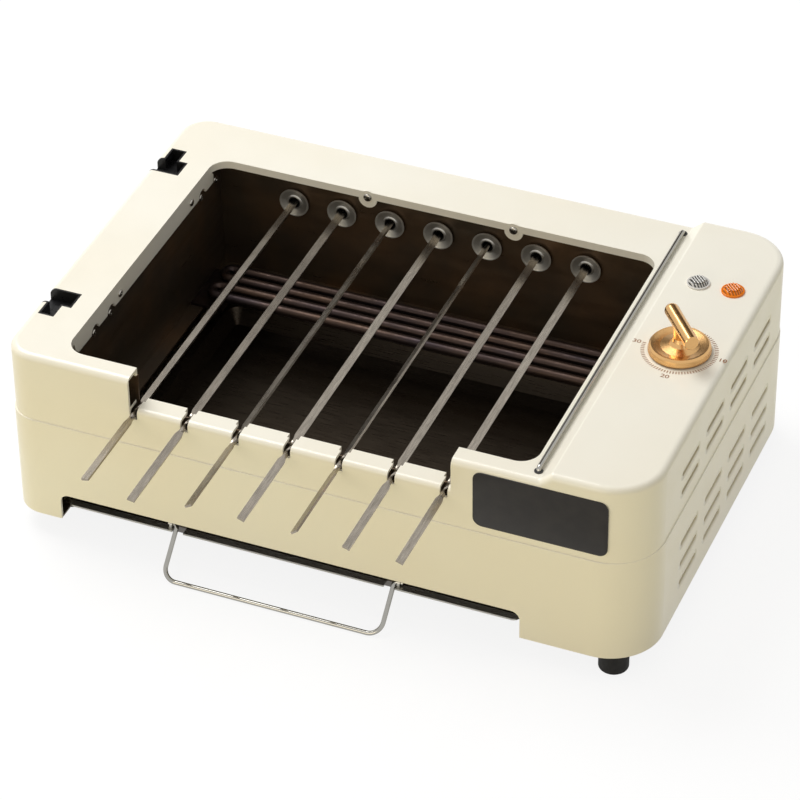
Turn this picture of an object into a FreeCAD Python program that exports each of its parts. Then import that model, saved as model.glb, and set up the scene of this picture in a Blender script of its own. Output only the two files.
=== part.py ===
"""Electric skewer grill: two-part housing, roasting bay with a geared row of
turning skewers, heating tubes, a pull-out drip tray and a timer knob.

Millimetres, +Z up, front of the grill towards -Y. The origin is on the table
under the middle of the housing.
"""
import FreeCAD
import Part
import math
import os
import Sketcher

Vector = FreeCAD.Vector
Rotation = FreeCAD.Rotation

document = FreeCAD.newDocument("SkewerGrill")


# Driving dimensions. Heights that end in _above are measured from the bottom
# edge of the housing, which stands on the feet.
DIMENSIONS = {
    # housing
    "body_width": 433.0,
    "body_depth": 290.0,
    "corner_radius": 35.0,
    "upper_corner_radius": 33.0,
    "left_corner_radius": 20.0,
    "wall": 2.0,
    "seam_above": 76.0,
    "seam_step": 0.8,
    "seam_lip": 3.0,
    "lip_gap": 0.2,
    "rim_above": 126.2,
    "rim_round": 4.5,
    "panel_rise": 6.5,
    "step_inset": 71.0,
    "step_run": 7.4,
    "crease_round": 2.5,
    "foot_height": 15.0,
    "foot_radius": 9.7,
    "foot_inset_x": 24.0,
    "foot_inset_y": 13.2,
    "left_foot_inset_y": 37.0,
    "foot_edge": 1.5,
    "base_gap": 0.3,
    "sheet_thickness": 1.2,
    "overcut": 1.0,
    "small_corner": 3.0,
    # roasting bay
    "left_rim_width": 38.6,
    "right_rim_width": 79.5,
    "front_rim_width": 15.0,
    "back_rim_width": 43.9,
    "bay_corner": 13.0,
    "flange_thickness": 1.6,
    "ledge_corner": 4.0,
    "flange_drop": 5.5,
    "side_flange_drop": 15.0,
    "scallop_radius": 5.6,
    "scallop_above": 110.5,
    "liner_screw_pitch": 23.3,
    "liner_screw_front": 43.0,
    "liner_screw_back": 24.6,
    "tab_radius": 6.5,
    "tab_above": 120.5,
    "tab_left": 47.9,
    "tab_right": 55.8,
    "liner_front_gap": 1.5,
    "liner_back_gap": 8.2,
    "liner_ledge_above": 35.0,
    "liner_ledge_width": 9.0,
    "liner_front_top_above": 120.0,
    "liner_comb_top_above": 95.8,
    # comb
    "land_above": 104.0,
    "land_round": 3.5,
    "land_lip": 4.0,
    "notch_width": 5.0,
    "notch_floor_above": 96.5,
    "notch_step": 1.3,
    "notch_step_depth": 4.0,
    "comb_margin_left": 0.3,
    "comb_margin_right": 2.1,
    # skewers and their drive
    "spindle_pitch": 34.8,
    "spindle_shift": 0.25,
    "spindle_above": 99.5,
    "blade_width": 5.0,
    "blade_thickness": 1.5,
    "neck_width": 3.4,
    "neck_reach": 4.0,
    "neck_shoulder": 3.5,
    "blade_clearance": 0.1,
    "tip_length": 7.0,
    "tip_width": 1.6,
    "tip_taper": 1.0,
    "socket_radius": 10.5,
    "socket_thickness": 2.7,
    "socket_bore_radius": 3.5,
    "socket_bore_depth": 5.0,
    "socket_edge": 0.8,
    "socket_lip": 0.6,
    "socket_dish": 1.6,
    "socket_hub": 1.2,
    "socket_neck": 1.5,
    "blade_slot_depth": 8.0,
    "shaft_radius": 5.0,
    "journal_radius": 3.0,
    "running_gap": 0.05,
    "press_gap": 0.01,
    "seat_gap": 0.3,
    "tooth_size": 1.25,
    "spindle_teeth": 16,
    "idler_teeth": 12,
    "pinion_teeth": 14,
    "gear_offset": 1.5,
    "gear_width": 6.0,
    "stud_radius": 2.5,
    "plate_gap": 0.5,
    "plate_margin": 14.0,
    "motor_radius": 24.5,
    "motor_length": 19.0,
    "motor_shaft_offset": 10.0,
    "motor_shaft_radius": 2.5,
    "pinion_bore_radius": 0.5,
    # heating tubes
    "tube_radius": 3.5,
    "tube_pitch": 10.5,
    "tube_above": 45.0,
    "tube_bank_offset": 84.4,
    "tube_left_gap": 12.0,
    "tube_stub": 9.0,
    "tube_hole_gap": 0.3,
    # drip tray and its bail
    "tray_left_gap": 0.6,
    "tray_right_gap": 4.5,
    "tray_front_inset": 4.0,
    "tray_back_gap": 3.9,
    "tray_corner": 5.0,
    "bowl_corner": 4.0,
    "tray_rim_above": 10.0,
    "tray_floor_above": -2.0,
    "tray_rim_width": 7.5,
    "tray_slope": 6.0,
    "tray_side_gap": 2.3,
    "tray_mouth_above": 20.0,
    "tray_mouth_corner": 6.0,
    "rail_foot": 7.0,
    "rail_shelf": 3.5,
    "bail_shift": 6.9,
    "bail_spacing": 150.0,
    "bail_wire_radius": 1.55,
    "bail_bend": 9.0,
    "bail_stub_bend": 2.6,
    "bail_pivot_inset": 4.5,
    "bail_pivot_above": 12.0,
    "bail_reach": 25.5,
    "bail_table_gap": 0.3,
    "bail_slot_width": 7.6,
    "ear_thickness": 1.6,
    "ear_radius": 3.0,
    "ear_gap": 0.2,
    # control panel
    "knob_inset": 32.6,
    "knob_y": 2.8,
    "knob_radius": 20.0,
    "knob_gap": 0.6,
    "knob_height": 6.0,
    "knob_post_radius": 4.2,
    "knob_edge": 0.8,
    "knob_taper": 0.6,
    "knob_chamfer": 1.2,
    "knob_rim": 1.4,
    "knob_dish_share": 0.62,
    "knob_flare": 2.6,
    "knob_flare_height": 4.6,
    "lever_edge": 0.5,
    "lever_radius": 4.8,
    "lever_lift": 14.0,
    "lever_length": 41.0,
    "lever_angle": -51.3,
    "timer_shaft_radius": 3.0,
    "timer_body_size": 42.0,
    "timer_body_height": 24.0,
    "lamp_back_inset": 70.0,
    "clear_lamp_inset": 44.8,
    "orange_lamp_inset": 21.6,
    "lamp_radius": 6.4,
    "bezel_radius": 7.6,
    "bezel_height": 1.2,
    "bezel_round": 0.5,
    "lamp_dome": 2.0,
    "rest_gap": 4.9,
    "rest_front_inset": 10.7,
    "rest_back_inset": 12.5,
    "rest_radius": 1.6,
    "rest_lift": 2.2,
    "rest_depth": 9.0,
    "rest_hole_gap": 0.3,
    # lid sockets, vents and inlet
    "socket_depth": 10.0,
    "socket_wall": 1.3,
    "socket_block_width": 23.0,
    "socket_block_depth": 16.0,
    "socket_leg_start": 5.5,
    "socket_leg_width": 11.1,
    "socket_leg_length": 12.5,
    "socket_corner_inset": 56.5,
    "socket_fit": 0.1,
    "vent_length": 31.0,
    "vent_height": 3.4,
    "vent_depth": 1.2,
    "vent_pitch": 47.0,
    "vent_first_inset": 79.5,
    "vent_above_a": 19.0,
    "vent_above_b": 34.0,
    "vent_above_c": 50.0,
    "vent_above_d": 91.0,
    "vent_above_e": 105.0,
    "inlet_inset": 55.0,
    "inlet_above": 42.0,
    "inlet_width": 28.0,
    "inlet_height": 20.0,
    "inlet_depth": 22.0,
    "inlet_flange": 3.0,
    "shield_inset": 63.0,
    "shield_foot": 10.0,
    "shield_overhang": 20.0,
    "shield_top_gap": 6.0,
    "thermostat_radius": 8.0,
    "thermostat_height": 7.0,
    "terminal_length": 34.0,
    "terminal_width": 18.0,
    "terminal_height": 14.0,
}

# Rest roll of each skewer about its own axis, in degrees, left to right.
SKEWER_ROLLS = (-12.0, 10.0, -30.0, 22.0, -38.0, 18.0, 20.0)

# How far each handle reaches in front of the housing, left to right.
HANDLE_REACHES = (68.0, 76.0, 68.0, 68.0, 67.0, 69.5, 70.0)
SKEWER_COUNT = len(SKEWER_ROLLS)
MIDDLE_SKEWER = SKEWER_COUNT // 2
TWIST_STEPS = 4
VENTS_IN_ROW = 4

# A gear tooth in shares of the module: root depth, tip height and, from root
# to tip, the half-width in circular pitches and the radius from a circle.
ROOT_DEPTH = 1.25
TOOTH_SUNK = (0.30, -0.2)
TOOTH_FOOT = (0.27, 0.25)
TOOTH_PITCH_HALF = 0.205
TOOTH_TIP = (0.10, 0.95)

# Radius and height of the lens in shares of the lamp's radius and dome.
LENS_CURVE = ((0.84, 0.55), (0.5, 0.92))

# How close a measured edge lies to its expected place, and the length over
# which an edge counts as one of the long ones.
CLOSE = 0.02
TIGHT = 0.01
LONG_EDGE = 5.0

sheet = document.addObject("Spreadsheet::Sheet", "Dims")
for row, (alias, value) in enumerate(DIMENSIONS.items(), start=1):
    sheet.set("A%d" % row, alias)
    sheet.set("B%d" % row, str(value))
    sheet.setAlias("B%d" % row, alias)
document.recompute()


class Size:
    """A length that knows both its value and its spreadsheet formula."""

    def __init__(self, value, formula):
        self.value = float(value)
        self.formula = formula

    @staticmethod
    def of(thing):
        if isinstance(thing, Size):
            return thing
        return Size(thing, repr(float(thing)))

    def __add__(self, other):
        other = Size.of(other)
        return Size(self.value + other.value, "(%s + %s)" % (self.formula, other.formula))

    def __radd__(self, other):
        return Size.of(other) + self

    def __sub__(self, other):
        other = Size.of(other)
        return Size(self.value - other.value, "(%s - %s)" % (self.formula, other.formula))

    def __rsub__(self, other):
        return Size.of(other) - self

    def __mul__(self, other):
        other = Size.of(other)
        return Size(self.value * other.value, "(%s * %s)" % (self.formula, other.formula))

    def __rmul__(self, other):
        return Size.of(other) * self

    def __truediv__(self, other):
        other = Size.of(other)
        return Size(self.value / other.value, "(%s / %s)" % (self.formula, other.formula))

    def __neg__(self):
        return Size(-self.value, "(-%s)" % self.formula)

    def root(self):
        return Size(math.sqrt(self.value), "sqrt(%s)" % self.formula)


class Dimensions:
    """Gives each spreadsheet cell as a Size, by its alias."""

    def __getattr__(self, alias):
        return Size(sheet.get(alias), "Dims.%s" % alias)


d = Dimensions()

# Heights and places that several pieces share.
z_bottom = d.foot_height
z_seam = z_bottom + d.seam_above
z_rim = z_bottom + d.rim_above
z_panel = z_rim + d.panel_rise
z_axis = z_bottom + d.spindle_above
half_width = d.body_width / 2
half_depth = d.body_depth / 2
upper_half_width = half_width - d.seam_step
upper_half_depth = half_depth - d.seam_step
step_start = half_width - d.step_inset
step_end = step_start + d.step_run
bay_left = d.left_rim_width - half_width
bay_right = half_width - d.right_rim_width
bay_front = d.front_rim_width - half_depth
bay_back = half_depth - d.back_rim_width
liner_left = bay_left - d.flange_thickness
liner_right = bay_right + d.flange_thickness
liner_front = bay_front + d.liner_front_gap
liner_back = bay_back + d.liner_back_gap
spindle_middle = (bay_left + bay_right) / 2 + d.spindle_shift
comb_left = spindle_middle - d.spindle_pitch * 3 - d.notch_width / 2 - d.comb_margin_left
comb_right = spindle_middle + d.spindle_pitch * 3 + d.notch_width / 2 + d.comb_margin_right
neck_front = -half_depth - d.neck_reach
wall_back_face = liner_back + d.sheet_thickness
tray_left = bay_left - d.tray_left_gap
tray_right = bay_right - d.tray_right_gap
tray_front = d.tray_front_inset - half_depth
tray_back = bay_back + d.tray_back_gap
bail_middle = spindle_middle - d.bail_shift
bail_pivot_y = tray_front + d.bail_pivot_inset
knob_x = half_width - d.knob_inset
lamp_y = half_depth - d.lamp_back_inset
clear_lamp_x = half_width - d.clear_lamp_inset
orange_lamp_x = half_width - d.orange_lamp_inset
rest_x = bay_right + d.rest_gap
rest_front = d.rest_front_inset - half_depth
rest_back = half_depth - d.rest_back_inset
back_socket_y = half_depth - d.socket_corner_inset
front_socket_y = -back_socket_y
vent_first_y = d.vent_first_inset - half_depth
inlet_x = half_width - d.inlet_inset
shield_x = half_width - d.shield_inset
gear_front = wall_back_face + d.gear_offset
gear_back = gear_front + d.gear_width
plate_front = gear_back + d.plate_gap
plate_back = plate_front + d.sheet_thickness
idler_distance = d.tooth_size * (d.spindle_teeth + d.idler_teeth) / 2
idler_drop = (idler_distance * idler_distance - d.spindle_pitch * d.spindle_pitch / 4).root()
pinion_distance = d.tooth_size * (d.spindle_teeth + d.pinion_teeth) / 2
bay_middle_y = (liner_front + liner_back) / 2

pieces = []


def keep(thing, label):
    """Names a finished sub-part and puts it on the list to be written."""
    thing.Label = label
    pieces.append(thing)
    return thing


def drive(thing, path, size):
    """Sets one property to a size and binds it to the spreadsheet."""
    size = Size.of(size)
    if "." not in path:
        setattr(thing, path, size.value)
    thing.setExpression(path, size.formula)


def place(thing, x=0, y=0, z=0, rotation=None):
    """Stands a sub-part at a point whose coordinates follow the sheet."""
    point = [Size.of(part) for part in (x, y, z)]
    base = Vector(point[0].value, point[1].value, point[2].value)
    thing.Placement = FreeCAD.Placement(base, rotation or Rotation())
    for axis, part in zip("xyz", point):
        thing.setExpression("Placement.Base.%s" % axis, part.formula)


def new_body(name):
    return document.addObject("PartDesign::Body", name + "_body")


def origin_plane(body, role):
    for feature in body.Origin.OriginFeatures:
        if feature.Role == role:
            return feature
    raise ValueError(role)


def new_sketch(body, name, role, offset=None, turn=0.0):
    """A sketch on one of the body's own planes, offset along its normal."""
    sketch = body.newObject("Sketcher::SketchObject", body.Name + "_" + name)
    sketch.AttachmentSupport = [(origin_plane(body, role), "")]
    sketch.MapMode = "FlatFace"
    shift = Size.of(offset or 0)
    turned = Rotation(Vector(0, 0, 1), turn)
    sketch.AttachmentOffset = FreeCAD.Placement(Vector(0, 0, shift.value), turned)
    if offset is not None:
        sketch.setExpression("AttachmentOffset.Base.z", shift.formula)
    return sketch


def constrain(sketch, kind, *where, size=None):
    if size is None:
        return sketch.addConstraint(Sketcher.Constraint(kind, *where))
    size = Size.of(size)
    index = sketch.addConstraint(Sketcher.Constraint(kind, *where, size.value))
    sketch.setExpression("Constraints[%d]" % index, size.formula)
    return index


def pin_x(sketch, geometry, vertex, size):
    constrain(sketch, "DistanceX", -1, 1, geometry, vertex, size=size)


def pin_y(sketch, geometry, vertex, size):
    constrain(sketch, "DistanceY", -1, 1, geometry, vertex, size=size)


def at(point):
    """A point on the sketch, given as Sizes or plain lengths."""
    across, up = [Size.of(part).value for part in point]
    return Vector(across, up, 0)


def draw_line(sketch, start, end):
    return sketch.addGeometry(Part.LineSegment(at(start), at(end)), False)


def draw_arc(sketch, centre, radius, start, sweep):
    circle = Part.Circle(at(centre), Vector(0, 0, 1), Size.of(radius).value)
    return sketch.addGeometry(Part.ArcOfCircle(circle, start, start + sweep), False)


def draw_circle(sketch, x, y, radius):
    x = Size.of(x)
    y = Size.of(y)
    radius = Size.of(radius)
    circle = Part.Circle(Vector(x.value, y.value, 0), Vector(0, 0, 1), radius.value)
    index = sketch.addGeometry(circle, False)
    pin_x(sketch, index, 3, x)
    pin_y(sketch, index, 3, y)
    constrain(sketch, "Radius", index, size=radius)
    return index


def draw_polygon(sketch, corners):
    """A closed outline whose every corner is placed from the origin."""
    corners = [(Size.of(x), Size.of(y)) for x, y in corners]
    count = len(corners)
    lines = []
    for index in range(count):
        start = corners[index]
        end = corners[(index + 1) % count]
        lines.append(draw_line(sketch, start, end))
    for index in range(count):
        constrain(sketch, "Coincident", lines[index], 2, lines[(index + 1) % count], 1)
    for line, (x, y) in zip(lines, corners):
        pin_x(sketch, line, 1, x)
        pin_y(sketch, line, 1, y)
    return lines


def draw_box(sketch, x0, x1, y0, y1):
    return draw_polygon(sketch, [(x0, y0), (x1, y0), (x1, y1), (x0, y1)])


def draw_rounded(sketch, x0, x1, y0, y1, radius, left_radius=None):
    """A rectangle with tangent corner arcs; the two left ones may differ."""
    left, right, low, high = [Size.of(part).value for part in (x0, x1, y0, y1)]
    r = Size.of(radius).value
    q = Size.of(left_radius or radius).value
    sides = [
        ((left + q, low), (right - r, low)),
        ((right, low + r), (right, high - r)),
        ((right - r, high), (left + q, high)),
        ((left, high - q), (left, low + q)),
    ]
    corners = [
        ((right - r, low + r), r, -math.pi / 2),
        ((right - r, high - r), r, 0.0),
        ((left + q, high - q), q, math.pi / 2),
        ((left + q, low + q), q, math.pi),
    ]
    lines = []
    arcs = []
    for (start, end), (centre, corner, angle) in zip(sides, corners):
        lines.append(draw_line(sketch, start, end))
        arcs.append(draw_arc(sketch, centre, corner, angle, math.pi / 2))
    for index in range(4):
        constrain(sketch, "Tangent", lines[index], 2, arcs[index], 1)
        constrain(sketch, "Tangent", arcs[index], 2, lines[(index + 1) % 4], 1)
        constrain(sketch, "Horizontal" if index % 2 == 0 else "Vertical", lines[index])
    constrain(sketch, "Equal", arcs[0], arcs[1])
    constrain(sketch, "Equal", arcs[2], arcs[3])
    if left_radius is None:
        constrain(sketch, "Equal", arcs[1], arcs[2])
    else:
        constrain(sketch, "Radius", arcs[2], size=left_radius)
    constrain(sketch, "Radius", arcs[0], size=radius)
    pin_y(sketch, lines[0], 1, y0)
    pin_y(sketch, lines[2], 1, y1)
    pin_x(sketch, lines[3], 1, x0)
    pin_x(sketch, lines[1], 1, x1)


def draw_slot(sketch, x, y, length, height):
    """A round-ended slot, long along the sketch's first axis."""
    x, y, length, height = [Size.of(part) for part in (x, y, length, height)]
    r = height.value / 2
    reach = length.value / 2 - r
    low = draw_line(sketch, (x - reach, y - r), (x + reach, y - r))
    right = draw_arc(sketch, (x + reach, y), r, -math.pi / 2, math.pi)
    high = draw_line(sketch, (x + reach, y + r), (x - reach, y + r))
    left = draw_arc(sketch, (x - reach, y), r, math.pi / 2, math.pi)
    loop = [low, right, high, left]
    for index in range(4):
        constrain(sketch, "Tangent", loop[index], 2, loop[(index + 1) % 4], 1)
    constrain(sketch, "Equal", right, left)
    constrain(sketch, "Horizontal", low)
    constrain(sketch, "Radius", right, size=height / 2)
    pin_x(sketch, right, 3, x + (length - height) / 2)
    pin_x(sketch, left, 3, x - (length - height) / 2)
    pin_y(sketch, right, 3, y)


def feature_of(body, kind, name, sketch):
    feature = body.newObject("PartDesign::" + kind, body.Name + "_" + name)
    feature.Profile = sketch
    return feature


def pad(body, name, sketch, length, backward=False):
    feature = feature_of(body, "Pad", name, sketch)
    drive(feature, "Length", length)
    feature.Reversed = backward
    return feature


def pad_both_ways(body, name, sketch, length):
    feature = pad(body, name, sketch, length)
    feature.Midplane = True
    return feature


def pocket(body, name, sketch, depth, backward=False):
    feature = feature_of(body, "Pocket", name, sketch)
    drive(feature, "Length", depth)
    feature.Reversed = backward
    return feature


def pocket_through(body, name, sketch):
    feature = feature_of(body, "Pocket", name, sketch)
    feature.Type = "ThroughAll"
    feature.Midplane = True
    return feature


def revolve(body, name, sketch, axis):
    feature = feature_of(body, "Revolution", name, sketch)
    feature.ReferenceAxis = (sketch, [axis])
    feature.Angle = 360.0
    return feature


def repeat_along(body, name, originals, sketch, axis, pitch, count):
    """Repeats features along one axis of a sketch at a driven pitch."""
    pattern = body.newObject("PartDesign::LinearPattern", body.Name + "_" + name)
    pattern.Originals = originals
    pattern.Direction = (sketch, [axis])
    pattern.Mode = "Spacing"
    drive(pattern, "Offset", pitch)
    pattern.Occurrences = count
    body.Tip = pattern
    return pattern


def repeat_around(body, name, originals, sketch, count):
    pattern = body.newObject("PartDesign::PolarPattern", body.Name + "_" + name)
    pattern.Originals = originals
    pattern.Axis = (sketch, ["N_Axis"])
    pattern.Angle = 360.0
    pattern.Occurrences = int(round(count.value))
    pattern.setExpression("Occurrences", count.formula)
    body.Tip = pattern
    return pattern


def round_edges(body, name, base, radius, wanted):
    """Fillets every edge of the base feature that the test picks out."""
    document.recompute()
    names = []
    for index, edge in enumerate(base.Shape.Edges, start=1):
        if wanted(edge):
            names.append("Edge%d" % index)
    if not names:
        raise RuntimeError("no edges to round for " + name)
    feature = body.newObject("PartDesign::Fillet", body.Name + "_" + name)
    feature.Base = (base, names)
    drive(feature, "Radius", radius)
    return feature


def near(value, target, slack=CLOSE):
    return abs(value - Size.of(target).value) < slack


def spindle_x(index):
    """The axis of skewer number index, counted from the left from zero."""
    return spindle_middle + d.spindle_pitch * (index - (SKEWER_COUNT - 1) / 2)


def runs_along_y_at(edge, x, z):
    box = edge.BoundBox
    return (box.YLength > LONG_EDGE and box.XLength < TIGHT and box.ZLength < TIGHT
            and near(box.XMin, x) and near(box.ZMin, z))


def draw_lid_socket(sketch, corner_y, direction, inset):
    """The L-shaped plan of a lid socket: a block, then a leg beyond it.

    direction is +1 where the leg points to the back and -1 to the front.
    inset shrinks the outline, but not at its open outer end."""
    outer = -half_width
    block_far = corner_y - d.socket_block_depth * direction + inset * direction
    block_near = corner_y - inset * direction
    leg_end = corner_y + d.socket_leg_length * direction - inset * direction
    leg_left = outer + d.socket_leg_start + inset
    leg_right = outer + d.socket_leg_start + d.socket_leg_width - inset
    block_right = outer + d.socket_block_width - inset
    draw_polygon(sketch, [
        (outer - d.overcut, block_far),
        (block_right, block_far),
        (block_right, block_near),
        (leg_right, block_near),
        (leg_right, leg_end),
        (leg_left, leg_end),
        (leg_left, block_near),
        (outer - d.overcut, block_near),
    ])


def cut_vents(body, name, above_list, face_x):
    """Rows of shallow round-ended louvre grooves on the right-hand face."""
    sketch = new_sketch(body, name, "YZ_Plane", face_x)
    for above in above_list:
        draw_slot(sketch, vent_first_y, z_bottom + above, d.vent_length, d.vent_height)
    first = pocket(body, name + "_cut", sketch, d.vent_depth)
    return repeat_along(body, name + "_row", [first], sketch, "H_Axis", d.vent_pitch, VENTS_IN_ROW)


def make_upper_shell():
    body = new_body("upper_shell")
    outline = new_sketch(body, "outline", "XY_Plane", z_seam)
    left_corner = d.left_corner_radius - d.seam_step
    draw_rounded(outline, -upper_half_width, upper_half_width, -upper_half_depth,
                 upper_half_depth, d.upper_corner_radius, left_radius=left_corner)
    block = pad(body, "block", outline, z_panel - z_seam)

    step = new_sketch(body, "step", "XZ_Plane")
    draw_polygon(step, [
        (-half_width - d.overcut, z_rim),
        (step_start, z_rim),
        (step_end, z_panel),
        (step_end, z_panel + d.overcut),
        (-half_width - d.overcut, z_panel + d.overcut),
    ])
    cut = pocket_through(body, "step_cut", step)
    creases = round_edges(body, "creases", cut, d.crease_round, lambda edge: (
        runs_along_y_at(edge, step_start, z_rim) or runs_along_y_at(edge, step_end, z_panel)))
    rim = round_edges(body, "rim", creases, d.rim_round, on_top_outline)

    hollow = new_sketch(body, "hollow", "XY_Plane", z_seam)
    draw_rounded(hollow, -upper_half_width + d.wall, upper_half_width - d.wall,
                 -upper_half_depth + d.wall, upper_half_depth - d.wall,
                 d.upper_corner_radius - d.wall, left_radius=left_corner - d.wall)
    pocket(body, "hollow_cut", hollow, z_rim - d.wall - z_seam, backward=True)
    attic = new_sketch(body, "attic", "XY_Plane", z_seam)
    draw_rounded(attic, step_end + d.wall, upper_half_width - d.wall,
                 -upper_half_depth + d.wall, upper_half_depth - d.wall,
                 d.upper_corner_radius - d.wall, left_radius=d.wall)
    pocket(body, "attic_cut", attic, z_panel - d.wall - z_seam, backward=True)

    bay = new_sketch(body, "bay", "XY_Plane", z_rim - d.wall * 2)
    draw_rounded(bay, bay_left, bay_right, bay_front, bay_back, d.bay_corner)
    pocket(body, "bay_cut", bay, d.wall * 2 + d.panel_rise, backward=True)
    cut_lid_recesses(body)
    add_bay_flange(body)
    add_comb(body)

    tops = new_sketch(body, "tops", "XY_Plane", z_panel)
    draw_circle(tops, knob_x, d.knob_y, d.timer_shaft_radius + d.seat_gap * 3)
    draw_circle(tops, clear_lamp_x, lamp_y, d.lamp_radius + d.socket_fit)
    draw_circle(tops, orange_lamp_x, lamp_y, d.lamp_radius + d.socket_fit)
    pocket(body, "tops_cut", tops, d.wall * 2)
    rod_holes = new_sketch(body, "rod_holes", "XY_Plane", z_rim)
    draw_circle(rod_holes, rest_x, rest_front, d.rest_radius + d.rest_hole_gap)
    draw_circle(rod_holes, rest_x, rest_back, d.rest_radius + d.rest_hole_gap)
    pocket(body, "rod_holes_cut", rod_holes, d.wall * 2)
    cut_vents(body, "vents", [d.vent_above_d, d.vent_above_e], upper_half_width)
    return keep(body, "upper_shell")


def on_top_outline(edge):
    """True for the edges round the outside of the rim, the step and panel."""
    box = edge.BoundBox
    if box.ZMin < z_rim.value - CLOSE:
        return False
    on_x = near(abs(box.Center.x), upper_half_width, TIGHT) and box.XLength < TIGHT
    on_y = near(abs(box.Center.y), upper_half_depth, TIGHT) and box.YLength < TIGHT
    corner = box.XLength > LONG_EDGE and box.YLength > LONG_EDGE and box.ZLength < TIGHT
    return on_x or on_y or corner


def cut_lid_recesses(body):
    for name, corner, direction in (("front", front_socket_y, -1), ("back", back_socket_y, 1)):
        sketch = new_sketch(body, name + "_recess", "XY_Plane", z_rim)
        draw_lid_socket(sketch, corner, direction, Size.of(0))
        pocket(body, name + "_recess_cut", sketch, d.socket_depth)


def add_bay_flange(body):
    """The turned-down lip round the bay, deeper and scalloped on the left."""
    ring = new_sketch(body, "ring", "XY_Plane", z_rim - d.wall / 2)
    draw_rounded(ring, bay_left, bay_right, bay_front, bay_back, d.bay_corner)
    draw_rounded(ring, bay_left - d.flange_thickness, bay_right + d.flange_thickness,
                 bay_front - d.flange_thickness, bay_back + d.flange_thickness,
                 d.bay_corner + d.flange_thickness)
    pad(body, "ring_pad", ring, d.flange_drop - d.wall / 2, backward=True)

    side = new_sketch(body, "side_flange", "YZ_Plane", bay_left)
    low = z_rim - d.side_flange_drop
    start = bay_front + d.bay_corner
    end = bay_back - d.bay_corner
    draw_polygon(side, [
        (start, z_rim - d.wall / 2),
        (start + d.wall, low + d.wall * 2),
        (start + d.wall * 3, low),
        (end + d.bay_corner / 2, low),
        (end + d.bay_corner / 2, low + d.wall * 3),
        (end, z_rim - d.wall / 2),
    ])
    pad(body, "side_flange_pad", side, d.flange_thickness, backward=True)

    scallops = new_sketch(body, "scallops", "YZ_Plane", bay_left + d.overcut)
    for first in (bay_front + d.liner_screw_front, bay_back - d.liner_screw_back):
        for y in (first, first + d.liner_screw_pitch):
            draw_arch(scallops, y, z_bottom + d.scallop_above, d.scallop_radius, low - d.overcut)
    pocket(body, "scallops_cut", scallops, d.flange_thickness + d.overcut * 1.2)

    tabs = new_sketch(body, "tabs", "XZ_Plane", -bay_back)
    for x in (spindle_middle - d.tab_left, spindle_middle + d.tab_right):
        draw_circle(tabs, x, z_bottom + d.tab_above, d.tab_radius)
    pad(body, "tabs_pad", tabs, d.flange_thickness, backward=True)


def draw_arch(sketch, x, y, radius, low):
    """A round-topped window, open downwards to the height low."""
    x, y, radius, low = [Size.of(part) for part in (x, y, radius, low)]
    top = draw_arc(sketch, (x, y), radius, 0.0, math.pi)
    left = draw_line(sketch, (x - radius, y), (x - radius, low))
    foot = draw_line(sketch, (x - radius, low), (x + radius, low))
    right = draw_line(sketch, (x + radius, low), (x + radius, y))
    constrain(sketch, "Tangent", top, 2, left, 1)
    constrain(sketch, "Coincident", left, 2, foot, 1)
    constrain(sketch, "Coincident", foot, 2, right, 1)
    constrain(sketch, "Tangent", right, 2, top, 1)
    constrain(sketch, "Vertical", left)
    constrain(sketch, "Horizontal", foot)
    constrain(sketch, "Radius", top, size=radius)
    pin_x(sketch, top, 3, x)
    pin_y(sketch, top, 3, y)
    pin_y(sketch, left, 2, low)


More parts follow.
